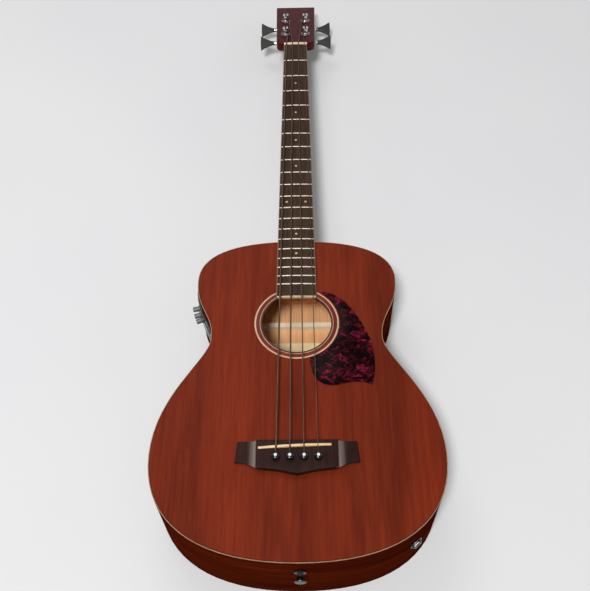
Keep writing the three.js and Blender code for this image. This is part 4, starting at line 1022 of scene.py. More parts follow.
def make_tuner_button():
    out = (panel_face - button_length_inside, panel_face + button_rise)
    up = span(button_half, -button_drop)
    button = rim_block(flank_place(button_share), span(button_half_length), out, up)
    show("tuner_button", eased(button, 0.5), grey, "grey_plastic", "button", replaces=["tuner_button"])


def fluted(mesh, low, high):
    """A turned knob with flutes round its grip, between two heights."""
    for point in mesh.vertices:
        radius = math.hypot(point.co.x, point.co.y)
        if low <= point.co.z <= high and radius > flute_floor:
            angle = math.atan2(point.co.y, point.co.x)
            shrink = 1 - flute_depth / radius * (0.5 + 0.5 * math.cos(angle * flute_count))
            point.co.x *= shrink
            point.co.y *= shrink
    return mesh


def make_knobs():
    """Three fluted knobs, each with a dark pointer line on its end."""
    base = panel_face + run_gap
    foot = base - knob_shaft_length
    knob = [(0, foot), (knob_shaft_radius, foot), (knob_shaft_radius, base), (4.4, base), (4.6, base + 0.3)]
    knob += [(4.6, base + 1.7), (4.3, base + 2), (3.9, base + 2.2), (3.85, base + 9.2), (3.6, base + 9.7)]
    knob += [(3.1, base + 9.9), (2.8, base + 9.75), (0, base + 9.6)]
    for share, body in zip(knob_shares, ("volume", "treble", "bass")):
        stand = out_of_side(flank_place(share), panel_height + knob_offset)
        mesh = fluted(turned(knob, knob_steps), base + 1.8, base + 9.6)
        show(f"{body}_knob", mesh, knob_metal, "chrome", body, replaces=[f"{body}_knob"], place=stand)
        line = block(*span(0.3), 1.0, 2.9, base + 9.55, base + 9.85)
        show(f"{body}_pointer", line, ring_black, "black_plastic", body, place=stand)


def screw_head(radius, height):
    """A domed screw head with a cross slot, standing on z = 0."""
    profile = [(0, -0.4), (radius, -0.4), (radius, height * 0.35), (radius * 0.86, height * 0.72)]
    profile += [(radius * 0.5, height * 0.95), (0, height)]
    arm, wide = radius * 0.62, radius * 0.13
    slots = [block(*span(x), *span(y), height * 0.4, height * 2) for x, y in ((arm, wide), (wide, arm))]
    return cut(turned(profile, 24), *slots)


def make_preamp_screws():
    heads = []
    reach = panel_half - panel_screw_inset
    for share in panel_screw_shares:
        place = flank_place(share)
        turn = tuple(turn_to((*place.out, 0)).to_euler())
        for height in (panel_height - reach, panel_height + reach):
            heads.append((place.at(-panel_face - screw_sink, height), turn))
    show("preamp_screws", set_out(screw_head(1.9, 0.7), heads, plate_metal), plate_metal, "chrome")


# Bridge, saddle, pins and pickguard

fret_top = board_top + fret_height
string_height_at_nut, string_height_at_octave = 0.5, 2.8
slot_bottom = fret_top + string_height_at_nut
string_rise = (fret_top + string_height_at_octave - slot_bottom) / -fret_y(frets_per_octave)
saddle_setback, saddle_slot_depth = 8.8, 6.6
saddle_y = bridge_front - saddle_setback
saddle_x, saddle_length, saddle_thickness = -3.0, 95.0, 3.2
saddle_slant = math.radians(2.5)
saddle_top = slot_bottom - saddle_y * string_rise
saddle_stand = Matrix.Translation((saddle_x, saddle_y, 0)) @ Matrix.Rotation(saddle_slant, 4, "Z")
saddle_pickup_room = 1.5
slot_floor = bridge_top - saddle_slot_depth
lanes = (-1.5, -0.5, 0.5, 1.5)
nut_gap, saddle_gap = 11, 18
deep_overrun = 40
bridge_half, bridge_front_half, bridge_blank = 81, 78, 50
cove_start, cove_end = 66, 53
# Where the painted highlight on the bridge's scooped steps is strongest, and how far it reaches.
highlight_middle, highlight_width = 54.5, 9
# Half widths of the bridge behind its front edge, each with how far behind.
bridge_tail_edge = [(81, 28.6), (76, 29), (68, 29.9), (61, 33.2), (55.1, 36.3), (48, 38.2)]
bridge_tail_edge += [(38, 39.4), (26.7, 40.5), (17, 42.5), (8, 44.6), (2, 45.8), (0, 46)]
# The pickguard's edge in shares of this length from the middle of the soundhole: where it starts, then
# curves, each with two places that it leans towards and its end.
pickguard_unit = 61.0
pickguard_start_shares = (0.63, 0.86)
pickguard_curve_shares = [
    (1.18, 0.79, 1.48, 0.13, 1.7, -0.47),
    (1.77, -0.74, 1.84, -1.28, 1.69, -1.68),
    (1.45, -1.58, 1.2, -1.6, 0.9, -1.69),
    (0.49, -1.75, 0.31, -1.44, 0.3, -1.01),
]
pickguard_hole_radius, pickguard_thickness = 62.5, 1.6


def pin_hole(lane, radius):
    """What is cut away for a bridge pin and for the string beside it."""
    x = lane * pin_gap
    hole = bar((x, pin_y, -deep_overrun), (x, pin_y, deep_overrun), pin_radius + run_gap)
    mouth = pin_y + pin_head_radius + 2 * run_gap + radius
    half = radius + run_gap
    return hole, block(*span(half, x), pin_y, mouth + half, *span(deep_overrun))


def make_bridge():
    wing_top = glue_gap + bridge_wing_height
    cove_ends = [Vector((cove_start, wing_top)), Vector((cove_end, wing_top)), Vector((cove_end, bridge_top))]
    cove = [tuple(arc_point(*cove_ends, k / 8)) for k in range(9)]
    upper = [(bridge_half, glue_gap), (bridge_half, wing_top), *cove]
    profile = upper + [(-x, z) for x, z in reversed(upper)]
    rings = [[(x, y, z) for x, z in profile] for y in (bridge_front + 1, bridge_front - bridge_blank)]
    plan = [(-bridge_front_half, 0), (bridge_front_half, 0), *bridge_tail_edge]
    plan += [(-x, depth) for x, depth in reversed(bridge_tail_edge[:-1])]
    plan_plate = plate([[(x, bridge_front - depth) for x, depth in plan]], glue_gap, bridge_top + 5)
    blank = common(skin(rings), plan_plate)
    slot_half = saddle_length / 2 + glue_gap
    slot = block(*span(slot_half), *span(saddle_thickness / 2 + glue_gap), slot_floor, 20)
    slot.transform(saddle_stand)
    blank = cut(eased(blank, 0.7, 2, 28), slot)
    for lane, radius in zip(lanes, string_radii):
        blank = cut(blank, *pin_hole(lane, radius))

    def wear_and_highlight(spot):
        """A painted highlight: the scooped steps are lighter than the rest."""
        if not wing_top < spot.z < bridge_top - 0.4:
            return 0.0
        return max(0.0, 1 - abs(abs(spot.x) - highlight_middle) / highlight_width)

    mark(blank, "inner", "FLOAT", wear_and_highlight)
    show("bridge", blank, bridge_wood, "rosewood", replaces=["bridge"], smooth=24)


def make_saddle():
    half = saddle_thickness / 2
    bottom = slot_floor + saddle_pickup_room + 2 * glue_gap
    rise = half * 0.55
    crown = [(half * math.cos(a), rise * math.sin(a)) for a in (i * math.pi / 8 for i in range(9))]
    rings = []
    for k in range(25):
        x = saddle_length * (k / 24 - 0.5)
        top = saddle_top - camber(x)
        rings.append([(x, -half, bottom), *[(x, -y, top - rise + z) for y, z in crown], (x, half, bottom)])
    mesh = skin(rings)
    mesh.transform(saddle_stand)
    show("saddle", mesh, bone, "cream_plastic", replaces=["saddle"])


def make_pins():
    """Four bridge pins with ball heads, each with a pale dot let into it."""
    base = glue_gap
    ball = [(0, -20), (2.0, -20), (2.2, -19.6), (pin_radius, base - 0.1), (5.2, base), (5.6, base + 0.5)]
    ball.append((5.4, base + 1.1))
    for k in range(10):
        a = -0.6 + (math.pi / 2 + 0.6) * k / 9
        ball.append((pin_head_radius * math.cos(a), base + 2.95 + 3.45 * math.sin(a)))
    dots = []
    for name, lane in zip(string_names, lanes):
        piece = f"bridge_pin_{name}"
        stand = Matrix.Translation((lane * pin_gap, pin_y, bridge_top))
        show(piece, turned(ball, 40), gloss_black, "black_plastic", replaces=[piece], place=stand)
        dots.append(((lane * pin_gap, pin_y, bridge_top + 6.6), (0, 0, 0)))
    dot = turned([(0, -0.9), (2.0, -0.9), (2.0, -0.12), (1.3, 0.1), (0, 0.2)], 28)
    show("pin_dots", set_out(dot, dots, pearl), pearl, "cream_plastic")


def make_pickguard():
    start = pickguard_start_shares
    loop = [(0, soundhole_y)]
    for ax, ay, bx, by, x, y in pickguard_curve_shares:
        shares = [start, (ax, ay), (bx, by), (x, y)]
        control = [Vector((px * pickguard_unit, soundhole_y + py * pickguard_unit)) for px, py in shares]
        loop += [tuple(place) for place, _ in bezier(control, 16)]
        start = (x, y)
    loop.append((start[0] * pickguard_unit, soundhole_y + start[1] * pickguard_unit))
    sheet = plate([loop], glue_gap, glue_gap + pickguard_thickness)
    sheet = eased(cut(sheet, disc(pickguard_hole_radius, -2, 4)), 0.5, 2, 50)
    show("pickguard", sheet, guard, "pickguard_plastic", replaces=["pickguard"], smooth=40)


# Neck, fretboard and nut

edge_width, edge_seat = 1.25, 1.3
nut_rise, nut_slot_ease = 1.2, 0.2
heel_top, heel_foot, heel_reach = 3, 15, 60
heel_foot_half, heel_spread = 12, 14
heel_steps = [0.0, 2, 4, 6, 8, 10, 12, 13.5, 14.5, 15, 15.06, 15.3, 15.8, 16.6, 17.8, 19.5, 22, 25, 29, 34]
heel_steps += [40, 47, 54, 60, 68]
past_heel = 80
neck_run_in = 30
shaft_step = 37
rod_channel_half, rod_channel_end, rod_channel_floor = 3.25, -9.75, -9.25


def make_fretboard():
    rings = []
    for k in range(13):
        y = -glue_gap + (board_end + edge_seat + glue_gap) * k / 12
        half = board_half(y) - edge_seat
        across = [half * s / 8 for s in range(8, -9, -1)]
        top = [(x, y, board_top - camber(x)) for x in across]
        rings.append([(half, y, glue_gap), *top, (-half, y, glue_gap)])
    show("fretboard", skin(rings), dark_wood, "rosewood", replaces=["fretboard"])


# Strips along the board's sides with eased top corners, in lighter wood that is a painted highlight.
def make_board_edges():
    ease = 0.6
    bevel = 0.3 * ease
    for side, word in ((-1, "bass"), (1, "treble")):
        rings = []
        for k in range(13):
            y = -glue_gap + (board_end + glue_gap) * k / 12
            outer, inner = board_half(y), board_half(y) - edge_width
            top = board_top - camber(outer)
            section = [(inner, glue_gap), (outer, glue_gap), (outer, top - ease)]
            section += [(outer - bevel, top - bevel), (outer - ease, top), (inner, board_top - camber(inner))]
            rings.append([(side * x, y, z) for x, z in section])
        show(f"board_edge_{word}", skin(rings), edge_highlight_wood, "rosewood")


def make_board_end_strip():
    half = board_half(board_end) - edge_seat
    across = [half * k / 8 for k in range(-8, 9)]
    top = [(x, board_top - camber(x) - 0.1) for x in across]
    face = [(-half, glue_gap), *top, (half, glue_gap)]
    rings = [[(x, y, z) for x, z in face] for y in (board_end, board_end + edge_width)]
    show("board_end_strip", eased(skin(rings), 0.3), cream, "cream_plastic")


def fret_wire():
    """A fret as wide as two units, crowned, thinned at its ends and let into the board."""
    half, foot = fret_width / 2, 0.35
    crown = [(half * math.cos(a), fret_height * math.sin(a)) for a in (k * math.pi / 8 for k in range(9))]
    section = [*crown, (-half, -foot), (half, -foot)]
    middle = [(2 * k / 16 - 1, 1.0) for k in range(1, 16)]
    stations = [(-0.995, 0.55), (-0.97, 0.9), *middle, (0.97, 0.9), (0.995, 0.55)]
    rings = [[(x, y * s, z * s - (1 - s) * 0.1) for y, z in section] for x, s in stations]
    wire_mesh = skin(rings)
    wire_mesh.transform(Matrix.Translation((0, 0, board_top)))
    return wire_mesh


def make_frets():
    pattern = bpy.data.objects.new("fret", fret_wire())
    row = grown(
        fret_row_tree,
        bpy.data.meshes.new("row"),
        Wire=pattern,
        Frets=fret_count,
        Scale_length=scale_length,
        Nut_width=nut_width,
        Widening=(last_fret_width - nut_width) / fret_y(fret_count),
        Camber_radius=camber_radius,
        Finish=fret_metal,
    )
    bpy.data.objects.remove(pattern)
    show("frets", row, fret_metal, "chrome", smooth=50)


def make_position_dots():
    dot = turned([(0, -0.5), (1.9, -0.5), (1.9, 0.03), (0, 0.04)], 32)
    places = []
    for fret in dotted_frets:
        y = (fret_y(fret) + fret_y(fret - 1)) / 2
        aside = board_half(y) * 0.55
        spots = (-aside, aside) if fret == frets_per_octave else (0.0,)
        places += [((x, y, board_top - camber(x)), (0, math.asin(x / camber_radius), 0)) for x in spots]
    show("position_dots", set_out(dot, places, ring_cream), ring_cream, "cream_plastic")


def make_nut():
    rings = []
    for k in range(17):
        x = nut_width * (k / 16 - 0.5)
        low = slot_bottom - camber(x)
        high = low + nut_rise
        section = [(0, glue_gap), (nut_thickness, glue_gap), (nut_thickness, low - 0.5)]
        section += [(nut_thickness - 0.5, low + 0.05), (nut_thickness * 0.45, high - 0.25)]
        section += [(0.5, high), (0, high - 0.5)]
        rings.append([(x, y, z) for y, z in section])
    slots = [wire(route["points"][3:], route["radius"] + nut_slot_ease) for route in routes]
    show("nut", cut(skin(rings), *slots), cream, "cream_plastic", replaces=["nut"], smooth=35)


def heel_half(t, z):
    """Half the heel's width at a distance from the body and a height."""
    drop = min(max((-z - heel_top) / (depth_at_neck - heel_top), 0), 1)
    long = heel_foot + (heel_reach - heel_foot) * (1 - drop) ** 3
    if t >= long:
        return 0.0
    half = heel_foot_half + heel_spread * (1 - drop) ** 2.4
    u = t / long
    return half * (1 if u < 0.3 else math.sqrt(max(1 - ((u - 0.3) / 0.7) ** 2.2, 0)))


def heel_depth(t):
    if t <= heel_foot:
        return depth_at_neck
    if t >= heel_reach:
        return heel_top
    along = (t - heel_foot) / (heel_reach - heel_foot)
    return heel_top + (depth_at_neck - heel_top) * (1 - along ** (1 / 3))


def neck_ring(y, half, top, bottom, heel_at):
    """A section of the neck: flat on top and rounded below, merged with the heel near the body."""
    shaft = top - bottom
    depth = max(shaft, heel_depth(heel_at))
    ring = []
    for k in range(17):
        z = -depth * math.sin(math.pi / 2 * k / 16)
        level = min(-z / shaft, 1)
        wide = half * math.sqrt(max(1 - level**2.3, 0))
        narrow = heel_half(heel_at, z)
        ring.append((min((wide**8 + narrow**8) ** (1 / 8), half), z + top))
    right = [(x, y, z) for x, z in ring]
    return right + [(-x, y, z) for x, _, z in reversed(right)]


def neck_bottom(y):
    return -(neck_depth_at_nut + (neck_depth_at_body - neck_depth_at_nut) * y / neck_end)


def neck_shaft():
    """The neck from its heel to where it runs into the headstock."""
    start = neck_end + glue_gap
    rings = [neck_ring(start + t, board_half(start + t), 0, neck_bottom(start + t), t) for t in heel_steps]
    for y in [start + past_heel + shaft_step * k for k in range(11)]:
        rings.append(neck_ring(y, board_half(y), 0, neck_bottom(y), past_heel))
    slope = math.tan(head_tilt)
    half = board_half(0)
    rings.append(neck_ring(0.0, half, 0, -neck_depth_at_nut, past_heel))
    rings.append(neck_ring(nut_seat_end, half, -0.1, -neck_depth_at_nut - 0.4, past_heel))
    for share in (0.15, 0.3, 0.45, 0.6, 0.8, 1.0):
        along = share * neck_run_in
        top = -along * slope - 2.2
        bottom = -neck_depth_at_nut - along * slope * share
        rings.append(neck_ring(nut_seat_end + along, half * (1 - share / 4), top, bottom, past_heel))
    return skin(rings)


def head_plate():
    """The headstock: square shoulders, sides that widen a little and eased far corners."""
    shoulder = [Vector(v) for v in ((22, 6), (31.3, 6), (36, 10.7), (36, 20))]
    plan = [(nut_width / 2, 0.0), (22, 6)]
    plan += [tuple(place) for place, _ in bezier(shoulder, 10)][1:]
    plan += [(36, 20), (37.2, 90), (38.5, head_length - 2.4), (38.2, head_length - 0.8), (36.6, head_length)]
    head = plate([plan + [(-x, y) for x, y in reversed(plan)]], -head_thickness, 0, 1.1)
    head.transform(head_frame)
    return head


def make_neck():
    nut_room = block(-30, 30, -6, nut_seat_end, 0.0, 20)
    channel = block(*span(rod_channel_half), neck_end + glue_gap - 30, rod_channel_end, rod_channel_floor, 10)
    holes = []
    for side, along in head_places:
        ends = [head_frame @ Vector((side * post_across, along, z)) for z in (-30, 30)]
        holes.append(bar(*ends, sleeve_radius + glue_gap))
    neck = cut(joined(neck_shaft(), head_plate()), nut_room, channel, *holes)
    back_to_head = head_frame.inverted()

    def head_face(spot):
        return float((back_to_head @ spot).z > -1.2 and spot.y > nut_seat_end - 0.1)

    mark(neck, "inner", "FLOAT", head_face)
    show("neck", neck, neck_wood, "dark_mahogany", replaces=["neck"], smooth=38)


# Tuning machines. Each stands on its own frame: the post's axis is z, the head's face is z = 0 and the
# key is towards +x.

head_places = [(-1, 46.0), (-1, 107.0), (1, 107.0), (1, 46.0)]
post_across = 19.0
post_radius, post_bore_radius, sleeve_radius, post_slot_half = 4.2, 5.05, 6.4, 1.5
washer_radius, washer_thickness = 8.8, 1
hex_radius, hex_thickness = 7.6, 1.8
hex_top = glue_gap + washer_thickness + hex_thickness
wheel_teeth, wheel_width, wheel_radius = 20, 6.0, 10.0
worm_radius, worm_length = 4.5, 13.0
worm_lead = math.pi
tooth_tip, tooth_root = 1, 1.25
pressure = math.tan(math.radians(20))
shaft_y = wheel_radius + worm_radius
shaft_drop = 8.2
shaft_z = -head_thickness - shaft_drop
key_shaft_radius = 2.6
paddle_turn = math.radians(48)
ear_start, ear_thickness, ear_half = worm_length / 2 + 1, 3.0, 4.5
plate_top = -head_thickness - glue_gap
plate_thickness = 2
plate_bottom = plate_top - plate_thickness
plate_screws = [(-8, -6.4), (8, -6.4), (-8, 16.8), (8, 16.8)]


def make_machine_plate():
    bore = circle(post_bore_radius, 40)
    washer = plate([circle(washer_radius, 48), bore], glue_gap, glue_gap + washer_thickness, 0.25)
    nut = plate([circle(hex_radius, 6), bore], glue_gap + 0.9, hex_top, 0.45)
    sleeve = plate([circle(sleeve_radius, 40), bore], shaft_z + wheel_width / 2 + run_gap, hex_top / 2)
    wide, foot, far, round_at = 10.5, -9.0, shaft_y + 4.75, 2.5
    shape = []
    for x, y, turn in ((wide, far, 0), (-wide, far, 1), (-wide, foot, 2), (wide, foot, 3)):
        cx, cy = x - math.copysign(round_at, x), y - math.copysign(round_at, y - 3)
        for k in range(6):
            a = math.pi / 2 * (turn + k / 5)
            shape.append((cx + round_at * math.cos(a), cy + round_at * math.sin(a)))
    base = plate([shape, bore], plate_bottom, plate_top, 0.3)
    return together(washer, nut, sleeve, base, *machine_ears())


def machine_ears():
    """The two cheeks below the plate that carry the key's shaft."""
    root = plate_bottom + 0.5 - shaft_z
    under = [math.pi + k * math.pi / 12 for k in range(13)]
    round_end = [(ear_half * math.cos(a), ear_half * math.sin(a)) for a in under]
    cheek = [(-ear_half, root), *round_end, (ear_half, root)]
    upright = Matrix(((0, 0, 1, 0), (1, 0, 0, 0), (0, 1, 0, 0), (0, 0, 0, 1)))
    ears = []
    for x in (-ear_start - ear_thickness, ear_start):
        ear = plate([cheek, circle(key_shaft_radius + run_gap, 32)], 0, ear_thickness, 0.3)
        ear.transform(Matrix.Translation((x, shaft_y, shaft_z)) @ upright)
        ears.append(ear)
    return ears


def make_wheel():
    pitch_half = worm_lead / 4 - 0.06
    root_half, tip_half = pitch_half + tooth_root * pressure, pitch_half - tooth_tip * pressure
    root, tip = wheel_radius - tooth_root, wheel_radius + tooth_tip
    shape = []
    for tooth in range(wheel_teeth):
        a = math.pi / 2 + 2 * math.pi * (tooth + 0.5) / wheel_teeth
        for r, t in ((root, -root_half), (tip, -tip_half), (tip, tip_half), (root, root_half)):
            shape.append((r * math.cos(a) - t * math.sin(a), r * math.sin(a) + t * math.cos(a)))
    lean = worm_lead / (2 * math.pi * worm_radius * wheel_radius)
    rings = []
    for z in (-3.0, -1.0, 1.0, 3.0):
        c, s = math.cos(lean * z), math.sin(lean * z)
        rings.append([(x * c - y * s, x * s + y * c, shaft_z + z) for x, y in shape])
    return skin(rings)


def make_post():
    """A waisted post with a slot across its cap, and the wheel on its foot."""
    foot = shaft_z - wheel_width / 2
    stem = [(0, foot - 0.75), (3.9, foot - 0.75), (post_radius, foot - 0.4), (post_radius, foot)]
    stem += [(4.75, foot + 0.75), (4.75, hex_top - 0.6), (4.45, hex_top - 0.1), (post_radius, hex_top + 0.5)]
    stem += [(post_radius, 10.8), (4.6, 11.2), (5.4, 11.6), (5.6, 12.0), (5.6, 12.9), (5.4, 13.5)]
    stem += [(4.9, 13.85), (post_radius, 14), (0, 14)]
    slot = block(*span(post_slot_half), *span(30), 8, 30)
    return cut(joined(turned(stem, 48), make_wheel()), slot)


def make_worm():
    """The key's shaft: a helical thread that the wheel's teeth sit in, and a turned collar."""
    core = worm_radius - tooth_root
    pitch_half = (worm_lead / 2 - 0.35) / 2
    section = [(r, pitch_half - (r - worm_radius) * pressure) for r in (core - 0.4, worm_radius + tooth_tip)]
    section = [(section[0][0], -section[0][1]), *section, (section[1][0], -section[1][1])]
    half_turns = (worm_length / worm_lead - 1) / 2
    rings = []
    for k in range(-36, 37):
        turn = 2 * math.pi * half_turns * k / 36
        a = math.pi + turn
        shift = worm_lead * turn / (2 * math.pi)
        rings.append([(shift + x, r * math.cos(a), r * math.sin(a)) for r, x in section])
    half = worm_length / 2 + 0.7
    end = ear_start + ear_thickness + run_gap
    worm = joined(
        bar((-half, 0, 0), (half, 0, 0), core, 40),
        skin(rings),
        bar((-end, 0, 0), (24, 0, 0), key_shaft_radius, 32),
        bar((-end - 0.9, 0, 0), (-end, 0, 0), 3.2, 32),
    )
    grooved = [(0, 0), (3.5, 0), (4, 0.5), (4, 1.5), (3.7, 2), (4, 2.5), (4, 3.6), (3.4, 4), (0, 4)]
    collar = turned(grooved, 40)
    collar.transform(Matrix.Translation((18, 0, 0)) @ Matrix.Rotation(math.pi / 2, 4, "Y"))
    mesh = together(worm, collar)
    mesh.transform(Matrix.Translation((0, shaft_y, shaft_z)))
    return mesh


def make_paddle():
    """The key's flat grip: sides that curve in and widen to a bowed end."""
    start, end, half = 22.0, 49.0, 14.0
    side = [Vector((start, -3.2)), Vector((start + 0.45 * (end - start), -0.3 * half)), Vector((end, -half))]
    edge = [tuple(arc_point(*side, k / 12)) for k in range(13)]
    bow = [(end + 3 * (1 - k / 12) * (k / 12), -half + 2 * half * k / 12) for k in range(1, 12)]
    mesh = plate([edge + bow + [(x, -y) for x, y in reversed(edge)]], -2, 2, 0.95)
    mesh.transform(Matrix.Translation((0, shaft_y, shaft_z)) @ Matrix.Rotation(paddle_turn, 4, "X"))
    return mesh


def make_machines():
    meshes = [make_machine_plate(), make_post(), make_worm(), make_paddle()]
    for name, (side, along) in zip(string_names, head_places):
        place = Matrix.Translation((side * post_across, along, 0))
        stand = head_frame @ place @ Matrix.Diagonal((side, 1, 1, 1))
        base, post, worm, paddle = [mesh.copy() for mesh in meshes]
        plate_name = f"tuner_plate_{name}"
        show(plate_name, base, plate_metal, "chrome", replaces=[plate_name], place=stand)
        show(f"tuner_post_{name}", post, chrome, "chrome", f"post_{name}", [f"tuner_post_{name}"], stand)
        show(f"tuner_key_{name}", worm, chrome, "chrome", f"key_{name}", [f"tuner_key_{name}"], stand)
        show(f"tuner_paddle_{name}", paddle, key_metal, "chrome", f"key_{name}", place=stand)
    screws = []
    for side, along in head_places:
        for x, y in plate_screws:
            place = head_frame @ Vector((side * post_across + x, along + y, plate_bottom - screw_sink))
            screws.append((tuple(place), (math.pi - head_tilt, 0, 0)))
    show("machine_screws", set_out(screw_head(1.8, 0.8), screws, plate_metal), plate_metal, "chrome")


# Strings

winding_base = washer_thickness + hex_thickness + 2 * glue_gap
winding_gap, winding_steps, steps_per_turn = 0.6, 54, 36
string_end_gap = 1.2
bridge_plate_thickness = 2.4
ball_radius, ball_half = 2.4, 2.25
ball_height = -top_thickness - glue_gap - bridge_plate_thickness - 2 * glue_gap - ball_radius


def string_route(i):
    """Where a string runs: from its ball end over the saddle and the nut to its post."""
    radius, lane = string_radii[i], lanes[i]
    side, along = head_places[i]
    turn_radius = post_radius + run_gap + radius
    height = winding_base + radius
    nut_x, bridge_x, pin_x = lane * nut_gap, lane * saddle_gap, lane * pin_gap
    crest = Vector((nut_x, nut_thickness / 2, slot_bottom - camber(nut_x) + radius + glue_gap))
    on_head = head_frame.inverted() @ crest
    towards = Vector((on_head.x - side * post_across, on_head.y - along))
    touch = math.atan2(towards.y, towards.x) - side * math.acos(turn_radius / towards.length)
    post = Vector((side * post_across, along, height))
    wrap = post + Vector((turn_radius * math.cos(touch), turn_radius * math.sin(touch), 0))
    from_middle = bridge_x - saddle_x
    rest_y = saddle_y + from_middle * math.tan(saddle_slant)
    rest = Vector((bridge_x, rest_y, saddle_top - camber(from_middle) + radius + 0.05))
    mouth = pin_y + pin_head_radius + 2 * run_gap + radius
    drop = pin_y + pin_radius + run_gap + radius
    points = [
        Vector((pin_x, drop, ball_height)),
        Vector((pin_x, drop, -top_thickness - glue_gap)),
        Vector((pin_x, mouth, bridge_top + radius)),
        rest,
        crest,
        head_frame @ wrap,
    ]
    return {
        "radius": radius,
        "side": side,
        "turn_radius": turn_radius,
        "post": post,
        "touch": touch,
        "points": points,
    }


def rounded(points, reach):
    """The route with each corner turned on a small curve."""
    path = [points[0]]
    for before, here, after in zip(points, points[1:], points[2:]):
        near = min(reach, (here - before).length * 0.45, (after - here).length * 0.45)
        start = here + (before - here).normalized() * near
        end = here + (after - here).normalized() * near
        path += [arc_point(start, here, end, k / 6) for k in range(7)]
    return [*path, points[-1]]


def winding(route):
    """The turns of a string round its post, with clear space between them."""
    reach, turns = route["turn_radius"], []
    climb = 2 * route["radius"] + winding_gap
    for k in range(winding_steps + 1):
        share = k / steps_per_turn
        a = route["touch"] - route["side"] * 2 * math.pi * share
        turns.append(route["post"] + Vector((reach * math.cos(a), reach * math.sin(a), climb * share)))
    return turns


def make_strings():
    for name, route in zip(string_names, routes):
        radius, points = route["radius"], route["points"]
        last = points[-1] - (points[-1] - points[-2]).normalized() * string_end_gap
        string = wire(rounded([*points[:-1], last], 3), radius)
        show(f"string_{name}", string, wound, "bronze_wire", replaces=[f"string_{name}"])
        x, z = points[0].x, points[0].z
        y = pin_y + pin_radius + run_gap + ball_radius
        ball = bar((x - ball_half, y, z), (x + ball_half, y, z), ball_radius)
        show(f"string_ball_{name}", ball, plate_metal, "bronze_wire")
        turns = wire(winding(route), radius)
        piece = f"string_winding_{name}"
        show(piece, turns, wound, "bronze_wire", f"post_{name}", [piece], head_frame)


# End pin and output jack

end_pin_x, end_pin_height = 3, -32
jack_bore, jack_barrel, jack_hex_radius, jack_flange_radius = 3.3, 6, 7.6, 9.5
jack_share, jack_height = 0.485, -47


def make_end_pin():
    """A turned pin: a stem in the tail block, a flange, a waist for the strap and a rounded end."""
    neck = glue_gap + 2.2
    shape = [(0, -22), (3.6, -22), (4, -21), (4, glue_gap), (7.2, glue_gap), (7.5, 0.6), (7.5, neck - 0.3)]
    shape += [(7.1, neck), (5.6, neck + 0.6), (4.7, neck + 1.6), (4.4, 6.2), (4.5, 8.2), (5.2, 10.0)]
    shape += [(6.3, 11.4), (7.2, 12.2), (7.45, 12.8), (7.3, 13.4), (6.8, 13.7), (5.4, 13.85), (0, 13.85)]
    stand = Matrix.Translation((end_pin_x, tail_end, end_pin_height)) @ Matrix.Rotation(math.pi / 2, 4, "X")
    show("end_pin", turned(shape, 56), dark_chrome, "chrome", replaces=["end_pin"], place=stand)


def make_jack():
    """A barrel with its bore open, its flange and a six-sided nut."""
    flange_top = glue_gap + 1.5
    nut_top = flange_top + 2.6
    face = nut_top + 0.75
    bore = circle(jack_bore, 40)
    shell = [(jack_bore, -18), (jack_barrel, -18), (jack_barrel, face - 0.2), (jack_barrel - 0.2, face)]
    shell += [(jack_bore + 0.3, face), (jack_bore, face - 0.3), (jack_bore, -18)]
    tail = turned([(0, -26), (jack_barrel, -26), (jack_barrel, -18), (0, -18)], 48)
    flange = plate([circle(jack_flange_radius, 64), bore], glue_gap, flange_top, 0.4)
    nut = plate([circle(jack_hex_radius, 6), bore], flange_top - 0.1, nut_top, 0.5)
    whole = together(turned(shell, 48), tail, flange, nut)
    stand = out_of_side(bout_place(3, jack_share), jack_height)
    show("output_jack", whole, dark_chrome, "chrome", replaces=["output_jack"], place=stand)


routes = [string_route(i) for i in range(4)]
make_sides()
make_top()
make_back()
make_bindings()
make_rosette()
make_label()
make_preamp_case()
make_battery_tray()
make_tuner_button()
make_knobs()
make_preamp_screws()
make_bridge()
make_saddle()
make_pins()
make_pickguard()
make_fretboard()
make_board_edges()
make_board_end_strip()
make_frets()
make_position_dots()
make_nut()
make_neck()
make_machines()
make_strings()
make_end_pin()
make_jack()

# Finishes of the solids that are shown as they are, inside the body and the neck

solid_finishes = {"bridge_plate": dark_wood, "saddle_pickup": plate_metal, "truss_rod": plate_metal}
solid_finishes |= {"neck_block": block_wood, "tail_block": block_wood}
for node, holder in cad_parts.items():
    if not holder.hide_render:
        holder.data.materials.clear()
        holder.data.materials.append(solid_finishes.get(node, brace_wood))

# Floor, backdrop and lamps

backdrop_colour = (0.74, 0.75, 0.76, 1)
floor_reach = 6
world_level = 0.22
lamp_target = (0, -0.05, 0.05)
# Each lamp's name, place and width in metres, and its power in watts.
lamps = [
    ("key_lamp", (-0.5, -1.74, 3.2), 0.7, 92),
    ("soft_lamp", (-0.7, 1.3, 2.4), 1.6, 14),
    ("right_lamp", (2.0, 0.5, 0.9), 1.2, 4),
    ("left_lamp", (-2.0, 0.6, 0.8), 1.2, 4),
    ("far_lamp", (0.2, 2.6, 1.2), 1.4, 5),
]


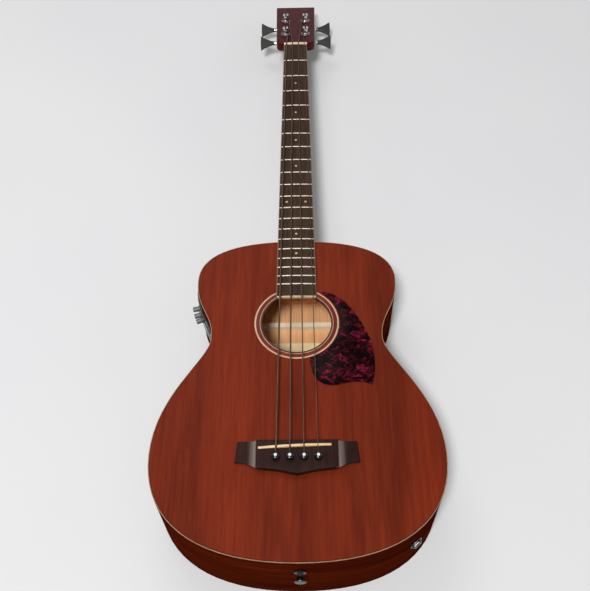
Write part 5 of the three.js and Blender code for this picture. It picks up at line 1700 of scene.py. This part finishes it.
def make_floor():
    """A pale floor that runs into the backdrop far from the guitar, for the camera alone."""
    mesh = bpy.data.meshes.new("floor")
    reach = floor_reach
    square = [(-reach, -reach, 0), (reach, -reach, 0), (reach, reach, 0), (-reach, reach, 0)]
    mesh.from_pydata(square, [], [(0, 1, 2, 3)])
    look = Finish("floor", Roughness=0.85)
    cloud = look.noise(look.places((1.2, 1.2, 1.2)), 3.0, 0.5)
    look.wire_up(look.steps(cloud, (0.3, shade(222, 222, 224)), (0.7, shade(228, 228, 229))))
    place = look.add("TexCoord").outputs["Object"]
    away = look.add("VectorMath", {0: place}, operation="LENGTH").outputs["Value"]
    fade = look.add("MapRange", {"Value": away, "From Min": 1.5, "From Max": 3.2}).outputs[0]
    fade = look.maths("MULTIPLY", fade, look.add("LightPath").outputs["Is Camera Ray"])
    backdrop = look.add("Emission", {"Color": backdrop_colour, "Strength": 1.0})
    mixed = look.add("MixShader", {0: fade, 1: look.shader.outputs[0], 2: backdrop.outputs[0]})
    look.tree.links.new(mixed.outputs[0], look.tree.nodes["Material Output"].inputs["Surface"])
    mesh.materials.append(look.material)
    floor = in_scene("floor", mesh)


def make_lamps():
    for name, place, size, power in lamps:
        lamp = bpy.data.lights.new(name, "AREA")
        lamp.shape = "DISK"
        lamp.size = size
        lamp.energy = power
        aim = Vector(lamp_target) - Vector(place)
        turn = aim.to_track_quat("-Z", "Y").to_matrix().to_4x4()
        in_scene(name, lamp).matrix_world = Matrix.Translation(place) @ turn


def make_world():
    """Plain light from all round, and the backdrop where the camera or a shiny piece sees past the floor."""
    world = bpy.data.worlds.new("studio")
    world.use_nodes = True
    tree = world.node_tree
    plain = tree.nodes["Background"]
    plain.inputs["Color"].default_value = (1, 1, 1, 1)
    plain.inputs["Strength"].default_value = world_level
    path = inner_node(tree, "ShaderNodeLightPath").outputs
    seen, shiny = path["Is Camera Ray"], path["Is Glossy Ray"]
    level = inner_node(tree, "ShaderNodeMath", {0: seen, 1: 0.5, 2: 0.5}, operation="MULTIPLY_ADD")
    either = inner_node(tree, "ShaderNodeMath", {0: seen, 1: shiny}, operation="MAXIMUM")
    backdrop = inner_node(
        tree, "ShaderNodeBackground", {"Color": backdrop_colour, "Strength": level.outputs[0]}
    )
    shaders = {1: plain.outputs[0], 2: backdrop.outputs[0]}
    mixed = inner_node(tree, "ShaderNodeMixShader", {0: either.outputs[0], **shaders})
    tree.links.new(mixed.outputs[0], tree.nodes["World Output"].inputs["Surface"])
    bpy.context.scene.world = world


make_floor()
make_lamps()
make_world()
bpy.context.scene.view_settings.view_transform = "Standard"
